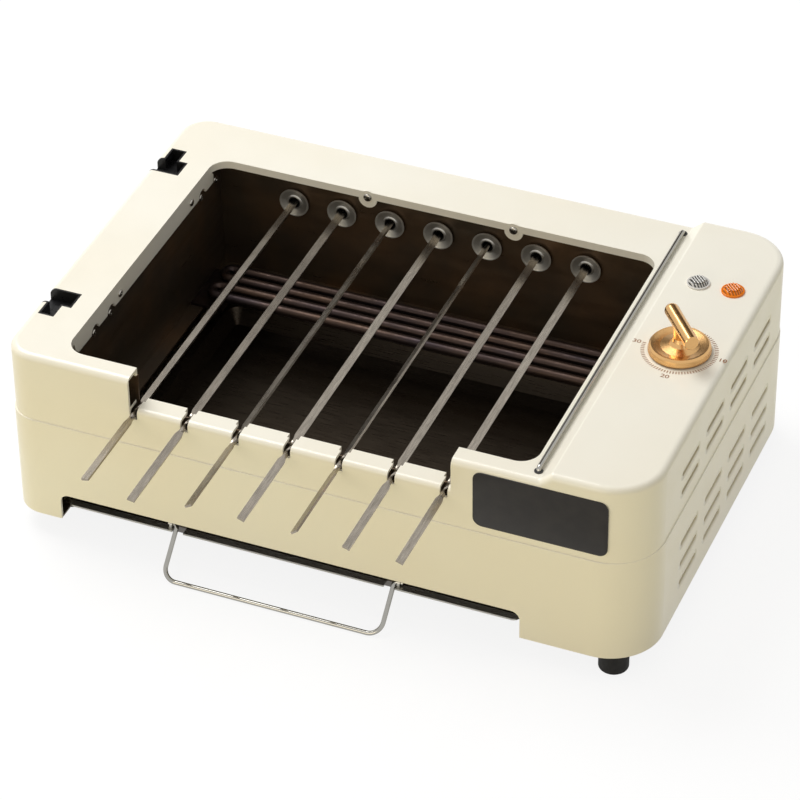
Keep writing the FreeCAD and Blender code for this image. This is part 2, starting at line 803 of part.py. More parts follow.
def add_comb(body):
    """The low front wall with a notch for each skewer between rolled lands."""
    z_land = z_bottom + d.land_above
    window = new_sketch(body, "window", "XZ_Plane", half_depth + d.overcut)
    draw_box(window, comb_left, comb_right, z_land - d.land_round, z_rim + d.overcut)
    depth = half_depth + d.overcut + bay_front + d.flange_thickness
    pocket(body, "window_cut", window, depth + d.bay_corner)

    front = -upper_half_depth
    land = new_sketch(body, "land", "YZ_Plane", comb_left)
    outer = d.land_round
    inner = d.land_round - d.wall
    low = z_land - d.land_round
    chain = [
        draw_line(land, (front, low - d.overcut), (front, low)),
        draw_arc(land, (front + outer, low), outer, math.pi / 2, math.pi / 2),
        draw_line(land, (front + outer, z_land), (bay_front, z_land)),
        draw_line(land, (bay_front, z_land), (bay_front, z_land - d.land_lip)),
    ]
    lip_inner = bay_front - d.flange_thickness
    ceiling = z_land - d.wall
    chain += [
        draw_line(land, (bay_front, z_land - d.land_lip),
                  (lip_inner, z_land - d.land_lip)),
        draw_line(land, (lip_inner, z_land - d.land_lip), (lip_inner, ceiling)),
        draw_line(land, (lip_inner, ceiling), (front + outer, ceiling)),
        draw_arc(land, (front + outer, low), inner, math.pi / 2, math.pi / 2),
        draw_line(land, (front + d.wall, low), (front + d.wall, low - d.overcut)),
        draw_line(land, (front + d.wall, low - d.overcut), (front, low - d.overcut)),
    ]
    constrain(land, "Coincident", chain[0], 2, chain[1], 2)
    constrain(land, "Coincident", chain[1], 1, chain[2], 1)
    constrain(land, "Coincident", chain[2], 2, chain[3], 1)
    constrain(land, "Coincident", chain[3], 2, chain[4], 1)
    constrain(land, "Coincident", chain[4], 2, chain[5], 1)
    constrain(land, "Coincident", chain[5], 2, chain[6], 1)
    constrain(land, "Coincident", chain[6], 2, chain[7], 1)
    constrain(land, "Coincident", chain[7], 2, chain[8], 1)
    constrain(land, "Coincident", chain[8], 2, chain[9], 1)
    constrain(land, "Coincident", chain[9], 2, chain[0], 1)
    pin_x(land, chain[0], 1, front)
    pin_y(land, chain[0], 1, low - d.overcut)
    pin_x(land, chain[0], 2, front)
    pin_y(land, chain[0], 2, low)
    pin_x(land, chain[1], 3, front + outer)
    pin_y(land, chain[1], 3, low)
    pin_x(land, chain[2], 1, front + outer)
    pin_x(land, chain[2], 2, bay_front)
    pin_y(land, chain[2], 2, z_land)
    pin_x(land, chain[3], 2, bay_front)
    pin_y(land, chain[3], 2, z_land - d.land_lip)
    pin_x(land, chain[4], 2, lip_inner)
    pin_y(land, chain[4], 2, z_land - d.land_lip)
    pin_x(land, chain[5], 2, lip_inner)
    pin_y(land, chain[5], 2, ceiling)
    pin_x(land, chain[6], 2, front + outer)
    constrain(land, "Coincident", chain[7], 3, chain[1], 3)
    pin_x(land, chain[8], 1, front + d.wall)
    pin_y(land, chain[8], 1, low)
    pin_x(land, chain[8], 2, front + d.wall)
    pin_y(land, chain[8], 2, low - d.overcut)
    pad(body, "land_pad", land, comb_right - comb_left)

    notch = new_sketch(body, "notch", "XZ_Plane", half_depth + d.overcut)
    first = spindle_x(0)
    z_floor = z_bottom + d.notch_floor_above
    draw_box(notch, first - d.notch_width / 2, first + d.notch_width / 2, z_floor, z_land + d.overcut)
    cut = pocket(body, "notch_cut", notch, depth + d.flange_thickness)
    steps = new_sketch(body, "notch_step", "XY_Plane", z_land + d.overcut)
    draw_box(steps, first - d.notch_width / 2 - d.notch_step, first + d.notch_width / 2 + d.notch_step,
             bay_front - d.notch_step_depth, bay_front + d.overcut)
    step_cut = pocket(body, "notch_step_cut", steps, d.land_lip + d.overcut * 2)
    repeat_along(body, "notches", [cut, step_cut], notch, "H_Axis", d.spindle_pitch, SKEWER_COUNT)


def make_lower_shell():
    body = new_body("lower_shell")
    outline = new_sketch(body, "outline", "XY_Plane", z_bottom)
    draw_rounded(outline, -half_width, half_width, -half_depth, half_depth,
                 d.corner_radius, left_radius=d.left_corner_radius)
    block = pad(body, "block", outline, d.seam_above)
    round_edges(body, "seam_round", block, d.seam_step - d.socket_fit, lambda edge: (
        near(edge.BoundBox.ZMin, z_seam)))
    inside = new_sketch(body, "inside", "XY_Plane", z_bottom)
    draw_rounded(inside, -half_width + d.wall, half_width - d.wall, -half_depth + d.wall,
                 half_depth - d.wall, d.corner_radius - d.wall,
                 left_radius=d.left_corner_radius - d.wall)
    pocket(body, "inside_cut", inside, d.seam_above + d.overcut, backward=True)

    lip_out = d.seam_step + d.wall + d.lip_gap
    lip_in = lip_out + d.wall
    lip = new_sketch(body, "lip", "XY_Plane", z_seam + d.seam_lip)
    for inset in (lip_out, lip_in):
        draw_rounded(lip, -half_width + inset, half_width - inset, -half_depth + inset,
                     half_depth - inset, d.upper_corner_radius + d.seam_step - inset,
                     left_radius=d.left_corner_radius - inset)
    pad(body, "lip_pad", lip, d.seam_lip * 2, backward=True)
    shelf = new_sketch(body, "shelf", "XY_Plane", z_seam)
    for inset in (d.wall / 2, lip_in):
        draw_rounded(shelf, -half_width + inset, half_width - inset, -half_depth + inset,
                     half_depth - inset, d.corner_radius - inset,
                     left_radius=d.left_corner_radius - inset)
    pad(body, "shelf_pad", shelf, d.seam_lip, backward=True)

    mouth = new_sketch(body, "mouth", "XZ_Plane", half_depth + d.overcut)
    draw_rounded(mouth, tray_left - d.tray_side_gap, tray_right + d.tray_side_gap,
                 z_bottom - d.tray_mouth_above, z_bottom + d.tray_mouth_above, d.tray_mouth_corner)
    pocket(body, "mouth_cut", mouth, d.wall + d.overcut * 2)
    hole = new_sketch(body, "inlet_hole", "XZ_Plane", -half_depth - d.overcut)
    draw_inlet_box(hole, d.socket_fit)
    pocket(body, "inlet_cut", hole, d.wall + d.overcut * 2, backward=True)
    cut_vents(body, "vents", [d.vent_above_a, d.vent_above_b, d.vent_above_c], half_width)
    return keep(body, "lower_shell")


def draw_inlet_box(sketch, grow):
    z_inlet = z_bottom + d.inlet_above
    draw_rounded(sketch, inlet_x - d.inlet_width / 2 - grow, inlet_x + d.inlet_width / 2 + grow,
                 z_inlet - d.inlet_height / 2 - grow, z_inlet + d.inlet_height / 2 + grow, d.small_corner)


def make_base_plate():
    """The bottom sheet, open where the drip tray slides through it."""
    body = new_body("base_plate")
    inset = d.wall + d.base_gap
    outline = new_sketch(body, "outline", "XY_Plane", z_bottom)
    draw_rounded(outline, -half_width + inset, half_width - inset, -half_depth + inset,
                 half_depth - inset, d.corner_radius - inset,
                 left_radius=d.left_corner_radius - inset)
    pad(body, "sheet", outline, d.sheet_thickness)
    gate = new_sketch(body, "gate", "XY_Plane", z_bottom - d.overcut)
    draw_box(gate, tray_left - d.tray_side_gap, tray_right + d.tray_side_gap,
             -half_depth - d.overcut, tray_back + d.tray_side_gap)
    pocket(body, "gate_cut", gate, d.sheet_thickness + d.overcut * 2, backward=True)
    return keep(body, "base_plate")


def make_feet():
    body = new_body("rubber_feet")
    plan = new_sketch(body, "plan", "XY_Plane")
    for side, inset in ((-1, d.left_foot_inset_y), (1, d.foot_inset_y)):
        x = (half_width - d.foot_inset_x) * side
        for y in (-half_depth + inset, half_depth - inset):
            draw_circle(plan, x, y, d.foot_radius)
    feet = pad(body, "feet", plan, d.foot_height)
    round_edges(body, "soles", feet, d.foot_edge, lambda edge: near(edge.BoundBox.ZMax, 0))
    return keep(body, "rubber_feet")


def make_bay_liner():
    """Left, front and right walls of the bay, bent from one dark sheet."""
    body = new_body("bay_liner")
    z_ledge = z_bottom + d.liner_ledge_above
    z_top = z_rim - d.wall - d.base_gap
    thick = d.sheet_thickness
    walls = new_sketch(body, "walls", "XY_Plane", z_ledge)
    draw_polygon(walls, [
        (liner_left - thick, liner_front - thick),
        (liner_right + thick, liner_front - thick),
        (liner_right + thick, liner_back),
        (liner_right, liner_back),
        (liner_right, liner_front),
        (liner_left, liner_front),
        (liner_left, liner_back),
        (liner_left - thick, liner_back),
    ])
    pad(body, "walls_pad", walls, z_top - z_ledge)
    ledge = new_sketch(body, "ledge", "XY_Plane", z_ledge)
    draw_box(ledge, liner_left - thick, liner_right + thick, liner_front - thick, liner_back)
    draw_rounded(ledge, liner_left + d.liner_ledge_width, liner_right - d.liner_ledge_width,
                 liner_front + d.liner_ledge_width, liner_back - d.liner_ledge_width, d.ledge_corner)
    pad(body, "ledge_pad", ledge, thick)
    front = new_sketch(body, "front_window", "XZ_Plane", -liner_front + thick + d.overcut)
    draw_polygon(front, [
        (liner_left - thick - d.overcut, z_bottom + d.liner_front_top_above),
        (comb_left, z_bottom + d.liner_front_top_above),
        (comb_left, z_bottom + d.liner_comb_top_above),
        (comb_right, z_bottom + d.liner_comb_top_above),
        (comb_right, z_bottom + d.liner_front_top_above),
        (liner_right + thick + d.overcut, z_bottom + d.liner_front_top_above),
        (liner_right + thick + d.overcut, z_top + d.overcut),
        (liner_left - thick - d.overcut, z_top + d.overcut),
    ])
    pocket(body, "front_window_cut", front, thick + d.overcut * 2)
    holes = new_sketch(body, "tube_holes", "YZ_Plane", liner_right + thick + d.overcut)
    for y in tube_ends():
        draw_circle(holes, y, z_bottom + d.tube_above, d.tube_radius + d.tube_hole_gap)
    pocket(body, "tube_holes_cut", holes, thick + d.overcut * 2)
    return keep(body, "bay_liner")


def bank_rows(side):
    """Y of the four passes of one heating tube, outermost first."""
    middle = bay_middle_y + d.tube_bank_offset * side
    return [middle + d.tube_pitch * 1.5 * side - d.tube_pitch * index * side for index in range(4)]


def tube_ends():
    """Y where the tubes pass through the right-hand wall of the liner."""
    ends = []
    for side in (-1, 1):
        rows = bank_rows(side)
        ends += [rows[0], rows[3]]
    return ends


def make_liner_back_wall():
    """The back wall of the bay, which carries the skewer drive."""
    body = new_body("liner_back_wall")
    z_low = z_bottom + d.liner_ledge_above
    sheet_sketch = new_sketch(body, "sheet", "XZ_Plane", -liner_back)
    draw_box(sheet_sketch, liner_left - d.sheet_thickness, liner_right + d.sheet_thickness,
             z_low, z_rim - d.wall - d.base_gap)
    pad(body, "sheet_pad", sheet_sketch, d.sheet_thickness, backward=True)
    spacers = new_sketch(body, "spacers", "XZ_Plane", -liner_back)
    for x in (spindle_middle - d.tab_left, spindle_middle + d.tab_right):
        draw_circle(spacers, x, z_bottom + d.tab_above - d.wall, d.tab_radius - d.wall)
    pad(body, "spacers_pad", spacers, liner_back - bay_back - d.flange_thickness)
    first = new_sketch(body, "first_hole", "XZ_Plane", -liner_back + d.overcut)
    draw_circle(first, spindle_x(0), z_axis, d.shaft_radius + d.running_gap)
    hole = pocket(body, "first_hole_cut", first, d.sheet_thickness + d.overcut * 2)
    repeat_along(body, "holes", [hole], first, "H_Axis", d.spindle_pitch, SKEWER_COUNT)
    return keep(body, "liner_back_wall")


def make_gear_plate():
    """The plate behind the gears, with the studs that the idlers turn on."""
    body = new_body("gear_plate")
    left = spindle_x(0) - d.plate_margin
    right = spindle_x(SKEWER_COUNT - 1) + d.plate_margin
    high = z_axis + d.plate_margin
    low = z_axis - d.plate_margin
    plan = new_sketch(body, "plan", "XZ_Plane", -plate_front)
    middle = spindle_x(MIDDLE_SKEWER)
    drop = pinion_distance + d.plate_margin / 2
    draw_polygon(plan, [
        (left, high),
        (left, low),
        (middle - d.motor_radius, low),
        (middle - d.motor_radius, z_axis - drop),
        (middle + d.motor_radius, z_axis - drop),
        (middle + d.motor_radius, low),
        (right, low),
        (right, high),
    ])
    pad(body, "plan_pad", plan, d.sheet_thickness, backward=True)
    posts = new_sketch(body, "posts", "XZ_Plane", -plate_front)
    for x in (left + d.wall * 1.5, right - d.wall * 1.5):
        for z in (low + d.wall * 1.5, high - d.wall * 1.5):
            draw_circle(posts, x, z, d.wall)
    pad(body, "posts_pad", posts, plate_front - wall_back_face)
    stud = new_sketch(body, "stud", "XZ_Plane", -plate_front)
    draw_circle(stud, spindle_x(0) + d.spindle_pitch / 2, z_axis - idler_drop, d.stud_radius)
    first_stud = pad(body, "stud_pad", stud, d.gear_width + d.plate_gap)
    repeat_along(body, "studs", [first_stud], stud, "H_Axis", d.spindle_pitch, SKEWER_COUNT - 1)
    journal = new_sketch(body, "journal", "XZ_Plane", -plate_front + d.overcut)
    draw_circle(journal, spindle_x(0), z_axis, d.journal_radius + d.running_gap)
    hole = pocket(body, "journal_cut", journal, d.sheet_thickness + d.overcut * 2)
    repeat_along(body, "journals", [hole], journal, "H_Axis", d.spindle_pitch, SKEWER_COUNT)
    motor = new_sketch(body, "motor_hole", "XZ_Plane", -plate_front + d.overcut)
    draw_circle(motor, middle, z_axis - pinion_distance, d.motor_shaft_radius * 2 + d.seat_gap)
    pocket(body, "motor_hole_cut", motor, d.sheet_thickness + d.overcut * 2)
    return keep(body, "gear_plate")


def make_gear_motor():
    """Flat synchronous gear motor behind the gear plate."""
    body = new_body("gear_motor")
    place(body, spindle_x(MIDDLE_SKEWER), plate_back, z_axis - pinion_distance)
    can = new_sketch(body, "can", "XZ_Plane")
    draw_circle(can, 0, -d.motor_shaft_offset, d.motor_radius)
    pad(body, "can_pad", can, d.motor_length, backward=True)
    nose = new_sketch(body, "nose", "XZ_Plane")
    draw_circle(nose, 0, 0, d.motor_shaft_radius * 2)
    pad(body, "nose_pad", nose, d.sheet_thickness)
    bore = new_sketch(body, "bore", "XZ_Plane", d.sheet_thickness + d.overcut)
    draw_circle(bore, 0, 0, d.motor_shaft_radius + d.running_gap)
    pocket(body, "bore_cut", bore, d.sheet_thickness + d.motor_length / 2)
    return keep(body, "gear_motor")


def tooth_outline(teeth):
    """Half-width and radius pairs of one tooth, from root to tip."""
    pitch_radius = d.tooth_size * teeth / 2
    root_radius = pitch_radius - d.tooth_size * ROOT_DEPTH
    pair = math.pi * d.tooth_size
    return [
        (pair * TOOTH_SUNK[0], root_radius + d.tooth_size * TOOTH_SUNK[1]),
        (pair * TOOTH_FOOT[0], root_radius + d.tooth_size * TOOTH_FOOT[1]),
        (pair * TOOTH_PITCH_HALF, pitch_radius),
        (pair * TOOTH_TIP[0], pitch_radius + d.tooth_size * TOOTH_TIP[1]),
    ]


def make_gear(name, teeth, x, z, bore, phase):
    """A spur gear about +Y; phase is the angle of one tooth from +X to +Z."""
    body = new_body(name)
    turn = Rotation(Vector(0, 1, 0), 90.0 - math.degrees(phase))
    place(body, x, gear_front, z, turn)
    disc = new_sketch(body, "disc", "XZ_Plane")
    draw_circle(disc, 0, 0, d.tooth_size * teeth / 2 - d.tooth_size * ROOT_DEPTH)
    pad(body, "disc_pad", disc, d.gear_width, backward=True)
    tooth = new_sketch(body, "tooth", "XZ_Plane")
    half = tooth_outline(teeth)
    right = [(width, radius) for width, radius in half]
    left = [(-width, radius) for width, radius in reversed(half)]
    draw_polygon(tooth, right + left)
    tooth_pad = pad(body, "tooth_pad", tooth, d.gear_width, backward=True)
    repeat_around(body, "teeth", [tooth_pad], disc, teeth)
    hole = new_sketch(body, "bore", "XZ_Plane", d.overcut)
    draw_circle(hole, 0, 0, bore)
    pocket(body, "bore_cut", hole, d.gear_width + d.overcut * 2)
    return keep(body, name)


def meshed_phase(phase, teeth, other_teeth, toward):
    """Phase of a gear whose partner lies in the direction toward from it."""
    turned = math.pi - teeth.value * (phase - toward)
    return toward + math.pi + turned / other_teeth.value


def make_drive_socket(index):
    """Dished flange, shaft and rear journal that hold and turn one skewer."""
    body = new_body("drive_socket_%d" % (index + 1))
    roll = Rotation(Vector(0, 1, 0), SKEWER_ROLLS[index])
    place(body, spindle_x(index), liner_back, z_axis, roll)
    profile = new_sketch(body, "profile", "YZ_Plane")
    back = gear_back - liner_back
    end = plate_back - liner_back + d.plate_gap
    front = -d.socket_thickness
    dish = front + d.socket_dish
    draw_polygon(profile, [
        (dish - d.socket_lip, d.socket_bore_radius),
        (dish - d.socket_lip, d.socket_bore_radius + d.socket_hub),
        (dish, d.socket_bore_radius + d.socket_hub + d.socket_edge),
        (front, d.socket_radius - d.socket_lip),
        (front, d.socket_radius),
        (front + d.socket_edge, d.socket_radius),
        (-d.seat_gap, d.shaft_radius + d.socket_neck),
        (-d.seat_gap, d.shaft_radius),
        (back, d.shaft_radius),
        (back, d.journal_radius),
        (end, d.journal_radius),
        (end, 0),
        (d.socket_bore_depth, 0),
        (d.socket_bore_depth, d.socket_bore_radius),
    ])
    revolve(body, "turned", profile, "H_Axis")
    slot = new_sketch(body, "slot", "XZ_Plane", -d.socket_bore_depth + d.overcut)
    half = d.blade_width / 2 + d.blade_clearance
    thick = d.blade_thickness / 2 + d.blade_clearance
    draw_box(slot, -half, half, -thick, thick)
    pocket(body, "slot_cut", slot, d.blade_slot_depth - d.socket_bore_depth + d.overcut)
    return keep(body, "drive_socket_%d" % (index + 1))


def make_skewer(index):
    """A flat skewer: pointed blade, narrow twisted neck and plain handle."""
    name = "skewer_%d" % (index + 1)
    body = new_body(name)
    roll = Rotation(Vector(0, 1, 0), SKEWER_ROLLS[index])
    place(body, spindle_x(index), 0, z_axis, roll)
    half = d.blade_width / 2
    neck = d.neck_width / 2
    tip = liner_back + d.blade_slot_depth - d.seat_gap
    blade = new_sketch(body, "blade", "XY_Plane")
    draw_polygon(blade, [
        (neck, bay_front),
        (half, bay_front + d.neck_shoulder),
        (half, tip - d.blade_slot_depth),
        (half, tip - d.tip_taper),
        (d.tip_width / 2, tip),
        (-d.tip_width / 2, tip),
        (-half, tip - d.tip_taper),
        (-half, bay_front + d.neck_shoulder),
        (-neck, bay_front),
    ])
    pad_both_ways(body, "blade_pad", blade, d.blade_thickness)
    sections = []
    for step in range(TWIST_STEPS + 1):
        share = step / TWIST_STEPS
        y = bay_front + (neck_front - bay_front) * share
        section = new_sketch(body, "neck_%d" % step, "XZ_Plane", -y, turn=180.0 * share)
        thick = d.blade_thickness / 2
        draw_box(section, -neck, neck, -thick, thick)
        sections.append(section)
    twist = body.newObject("PartDesign::AdditiveLoft", body.Name + "_twist")
    twist.Profile = sections[0]
    twist.Sections = sections[1:]
    twist.Ruled = True
    handle = new_sketch(body, "handle", "XY_Plane")
    end = -half_depth - HANDLE_REACHES[index]
    draw_polygon(handle, [
        (half, end),
        (half, neck_front - d.neck_shoulder),
        (neck, neck_front),
        (-neck, neck_front),
        (-half, neck_front - d.neck_shoulder),
        (-half, end),
    ])
    pad_both_ways(body, "handle_pad", handle, d.blade_thickness)
    return keep(body, name)


def make_drive_train():
    """Seven spindles in a row, an idler between each two, and the pinion."""
    down_right = math.atan2(-idler_drop.value, d.spindle_pitch.value / 2)
    up_right = -down_right
    phase = math.pi / 2
    for index in range(SKEWER_COUNT):
        make_skewer(index)
        make_drive_socket(index)
        make_gear("spindle_gear_%d" % (index + 1), d.spindle_teeth, spindle_x(index), z_axis,
                  d.shaft_radius + d.press_gap, phase)
        if index == MIDDLE_SKEWER:
            make_pinion(phase)
        if index == SKEWER_COUNT - 1:
            break
        idler_phase = meshed_phase(phase, d.spindle_teeth, d.idler_teeth, down_right)
        make_gear("idler_gear_%d" % (index + 1), d.idler_teeth,
                  spindle_x(index) + d.spindle_pitch / 2, z_axis - idler_drop,
                  d.stud_radius + d.running_gap, idler_phase)
        phase = meshed_phase(idler_phase, d.idler_teeth, d.spindle_teeth, up_right)


def make_pinion(phase):
    """Motor pinion with its own short shaft into the motor's nose."""
    pinion_phase = meshed_phase(phase, d.spindle_teeth, d.pinion_teeth, -math.pi / 2)
    body = make_gear("motor_pinion", d.pinion_teeth, spindle_x(MIDDLE_SKEWER), z_axis - pinion_distance,
                     d.pinion_bore_radius, pinion_phase)
    shaft = new_sketch(body, "shaft", "XZ_Plane")
    draw_circle(shaft, 0, 0, d.motor_shaft_radius)
    pad(body, "shaft_pad", shaft, plate_back - gear_front + d.motor_length / 4, backward=True)


def make_heating_tube(name, side):
    """One sheathed tube in four passes, both ends out through the right wall."""
    body = new_body(name)
    rows = bank_rows(side)
    bend = d.tube_pitch / 2
    left = liner_left + d.tube_left_gap + bend
    right_bend = liner_right - d.tube_left_gap - bend
    right_end = liner_right + d.sheet_thickness + d.tube_stub
    z = z_bottom + d.tube_above
    path = new_sketch(body, "path", "XY_Plane", z)
    r = bend.value
    down = -1 if side > 0 else 1
    y = [row.value for row in rows]
    runs = [
        draw_line(path, (right_end, y[0]), (left, y[0])),
        draw_line(path, (left, y[1]), (right_bend, y[1])),
        draw_line(path, (right_bend, y[2]), (left, y[2])),
        draw_line(path, (left, y[3]), (right_end, y[3])),
    ]
    left_half = math.pi / 2
    bends = [
        draw_arc(path, (left, (y[0] + y[1]) / 2), r, left_half, math.pi),
        draw_arc(path, (right_bend, (y[1] + y[2]) / 2), r, -left_half, math.pi),
        draw_arc(path, (left, (y[2] + y[3]) / 2), r, left_half, math.pi),
    ]
    high, low = (1, 2) if down < 0 else (2, 1)
    constrain(path, "Tangent", runs[0], 2, bends[0], high)
    constrain(path, "Tangent", bends[0], low, runs[1], 1)
    constrain(path, "Tangent", runs[1], 2, bends[1], low)
    constrain(path, "Tangent", bends[1], high, runs[2], 1)
    constrain(path, "Tangent", runs[2], 2, bends[2], high)
    constrain(path, "Tangent", bends[2], low, runs[3], 1)
    for run, row in zip(runs, rows):
        constrain(path, "Horizontal", run)
        pin_y(path, run, 1, row)
    pin_x(path, runs[0], 1, right_end)
    pin_x(path, runs[3], 2, right_end)
    pin_x(path, bends[0], 3, left)
    pin_x(path, bends[1], 3, right_bend)
    pin_x(path, bends[2], 3, left)
    section = new_sketch(body, "section", "YZ_Plane", right_end)
    draw_circle(section, rows[0], z, d.tube_radius)
    pipe = feature_of(body, "AdditivePipe", "tube", section)
    pipe.Spine = (path, ["Edge%d" % (index + 1) for index in range(len(runs) + len(bends))])
    return keep(body, name)


def make_element_brackets():
    """Two upright strips on the liner's left ledge that hold the tube bends."""
    body = new_body("element_brackets")
    z_ledge = z_bottom + d.liner_ledge_above + d.sheet_thickness
    x = liner_left + d.tube_left_gap + d.tube_pitch
    rise = d.tube_radius + d.tube_hole_gap
    plan = new_sketch(body, "plan", "YZ_Plane", x)
    for side in (-1, 1):
        rows = bank_rows(side)
        ends = [rows[0], rows[3]] if side < 0 else [rows[3], rows[0]]
        draw_box(plan, ends[0] - d.tube_pitch / 2, ends[1] + d.tube_pitch / 2, z_ledge,
                 z_bottom + d.tube_above + rise + d.wall)
        for row in rows:
            draw_circle(plan, row, z_bottom + d.tube_above, rise)
    pad_both_ways(body, "plates", plan, d.wall)
    foot = new_sketch(body, "foot", "XY_Plane", z_ledge)
    for side in (-1, 1):
        rows = bank_rows(side)
        ends = [rows[0], rows[3]] if side < 0 else [rows[3], rows[0]]
        draw_box(foot, liner_left, x + d.wall / 2, ends[0] - d.tube_pitch / 2, ends[1] + d.tube_pitch / 2)
    pad(body, "feet", foot, d.wall)
    return keep(body, "element_brackets")


def make_drip_tray():
    """Shallow pressed tray with a flat rim, bail slots and pivot ears."""
    body = new_body("drip_tray")
    z_rim_top = z_bottom + d.tray_rim_above
    z_floor = z_bottom + d.tray_floor_above
    inset = d.tray_rim_width
    top = new_sketch(body, "top", "XY_Plane", z_rim_top)
    draw_tray_plan(top, inset, d.bowl_corner + d.tray_slope)
    bottom = new_sketch(body, "bottom", "XY_Plane", z_floor)
    draw_tray_plan(bottom, inset + d.tray_slope, d.bowl_corner)
    bowl = body.newObject("PartDesign::AdditiveLoft", "tray_bowl")
    bowl.Profile = bottom
    bowl.Sections = [top]
    bowl.Ruled = True
    rim = new_sketch(body, "rim", "XY_Plane", z_rim_top - d.sheet_thickness)
    draw_tray_plan(rim, Size.of(0), d.tray_corner)
    pad(body, "rim_pad", rim, d.sheet_thickness)
    inner_top = new_sketch(body, "inner_top", "XY_Plane", z_rim_top)
    draw_tray_plan(inner_top, inset + d.sheet_thickness,
                   d.bowl_corner + d.tray_slope - d.sheet_thickness)
    inner_bottom = new_sketch(body, "inner_bottom", "XY_Plane", z_floor + d.sheet_thickness)
    draw_tray_plan(inner_bottom, inset + d.tray_slope + d.sheet_thickness,
                   d.bowl_corner - d.sheet_thickness)
    hollow = body.newObject("PartDesign::SubtractiveLoft", "tray_hollow")
    hollow.Profile = inner_bottom
    hollow.Sections = [inner_top]
    hollow.Ruled = True

    for name, side in (("left_ear", -1), ("right_ear", 1)):
        ear = new_sketch(body, name, "YZ_Plane", bail_leg(side) + (d.bail_stub_bend + d.ear_gap) * side)
        draw_ear(ear, z_rim_top)
        pad(body, name + "_pad", ear, d.ear_thickness, backward=side < 0)
    slots = new_sketch(body, "slots", "XY_Plane", z_rim_top + d.overcut)
    slot_back = bail_pivot_y + d.bail_wire_radius + d.seat_gap * 2
    for side in (-1, 1):
        edge = bail_leg(side) + (d.bail_wire_radius + d.seat_gap) * side
        far = edge - d.bail_slot_width * side
        ends = [edge, far] if side < 0 else [far, edge]
        draw_box(slots, ends[0], ends[1], tray_front - d.overcut, slot_back)
    pocket(body, "slots_cut", slots, z_rim_top - z_floor)
    return keep(body, "drip_tray")


def draw_tray_plan(sketch, inset, corner):
    draw_rounded(sketch, tray_left + inset, tray_right - inset, tray_front + inset,
                 tray_back - inset, corner)


def bail_leg(side):
    """X of the bail's leg on one side, -1 for left and 1 for right."""
    return bail_middle + d.bail_spacing / 2 * side


def draw_ear(sketch, z_low):
    """A round-topped ear with a pivot hole, standing on the tray's rim."""
    z_pivot = z_bottom + d.bail_pivot_above
    y = bail_pivot_y
    r = d.ear_radius
    top = draw_arc(sketch, (y, z_pivot), r, 0.0, math.pi)
    front = draw_line(sketch, (y - r, z_pivot), (y - r, z_low - d.overcut))
    foot = draw_line(sketch, (y - r, z_low - d.overcut), (y + r, z_low - d.overcut))
    back = draw_line(sketch, (y + r, z_low - d.overcut), (y + r, z_pivot))
    constrain(sketch, "Tangent", top, 2, front, 1)
    constrain(sketch, "Coincident", front, 2, foot, 1)
    constrain(sketch, "Coincident", foot, 2, back, 1)
    constrain(sketch, "Tangent", back, 2, top, 1)
    constrain(sketch, "Vertical", front)
    constrain(sketch, "Horizontal", foot)
    constrain(sketch, "Radius", top, size=r)
    pin_x(sketch, top, 3, y)
    pin_y(sketch, top, 3, z_pivot)
    pin_y(sketch, front, 2, z_low - d.overcut)
    draw_circle(sketch, y, z_pivot, d.bail_wire_radius + d.running_gap)


def make_tray_handle():
    """Wire bail that swings on the tray and hangs down to the table."""
    body = new_body("tray_handle")
    z_pivot = z_bottom + d.bail_pivot_above
    fall = z_pivot - d.bail_table_gap - d.bail_wire_radius
    length = (fall * fall + d.bail_reach * d.bail_reach).root()
    slope = math.degrees(math.atan2(fall.value, d.bail_reach.value))
    place(body, bail_middle, bail_pivot_y, z_pivot, Rotation(Vector(1, 0, 0), slope))
    half = d.bail_spacing / 2
    tip = half + d.bail_stub_bend + d.ear_gap + d.ear_thickness + d.bail_wire_radius
    path = new_sketch(body, "path", "XY_Plane")
    s = d.bail_stub_bend.value
    b = d.bail_bend.value
    h = half.value
    n = -length.value
    quarter = math.pi / 2
    parts = [
        draw_line(path, (-tip, 0), (-h - s, 0)),
        draw_arc(path, (-h - s, -s), s, 0.0, quarter),
        draw_line(path, (-h, -s), (-h, n + b)),
        draw_arc(path, (-h + b, n + b), b, math.pi, quarter),
        draw_line(path, (-h + b, n), (h - b, n)),
        draw_arc(path, (h - b, n + b), b, -quarter, quarter),
        draw_line(path, (h, n + b), (h, -s)),
        draw_arc(path, (h + s, -s), s, quarter, quarter),
        draw_line(path, (h + s, 0), (tip, 0)),
    ]
    joins = [(2, 2), (1, 1), (2, 1), (2, 1), (2, 1), (2, 1), (2, 2), (1, 1)]
    for index, (end, start) in enumerate(joins):
        constrain(path, "Tangent", parts[index], end, parts[index + 1], start)
    for index in (0, 4, 8):
        constrain(path, "Horizontal", parts[index])
    for index in (2, 6):
        constrain(path, "Vertical", parts[index])
    constrain(path, "Radius", parts[1], size=d.bail_stub_bend)
    constrain(path, "Equal", parts[1], parts[7])
    constrain(path, "Radius", parts[3], size=d.bail_bend)
    constrain(path, "Equal", parts[3], parts[5])
    pin_y(path, parts[0], 1, 0)
    pin_y(path, parts[8], 2, 0)
    pin_x(path, parts[0], 1, -tip)
    pin_x(path, parts[8], 2, tip)
    pin_x(path, parts[2], 1, -half)
    pin_x(path, parts[6], 2, half)
    pin_y(path, parts[4], 1, -length)
    section = new_sketch(body, "section", "YZ_Plane", -tip)
    draw_circle(section, 0, 0, d.bail_wire_radius)
    pipe = feature_of(body, "AdditivePipe", "wire", section)
    pipe.Spine = (path, ["Edge%d" % (index + 1) for index in range(len(parts))])
    return keep(body, "tray_handle")


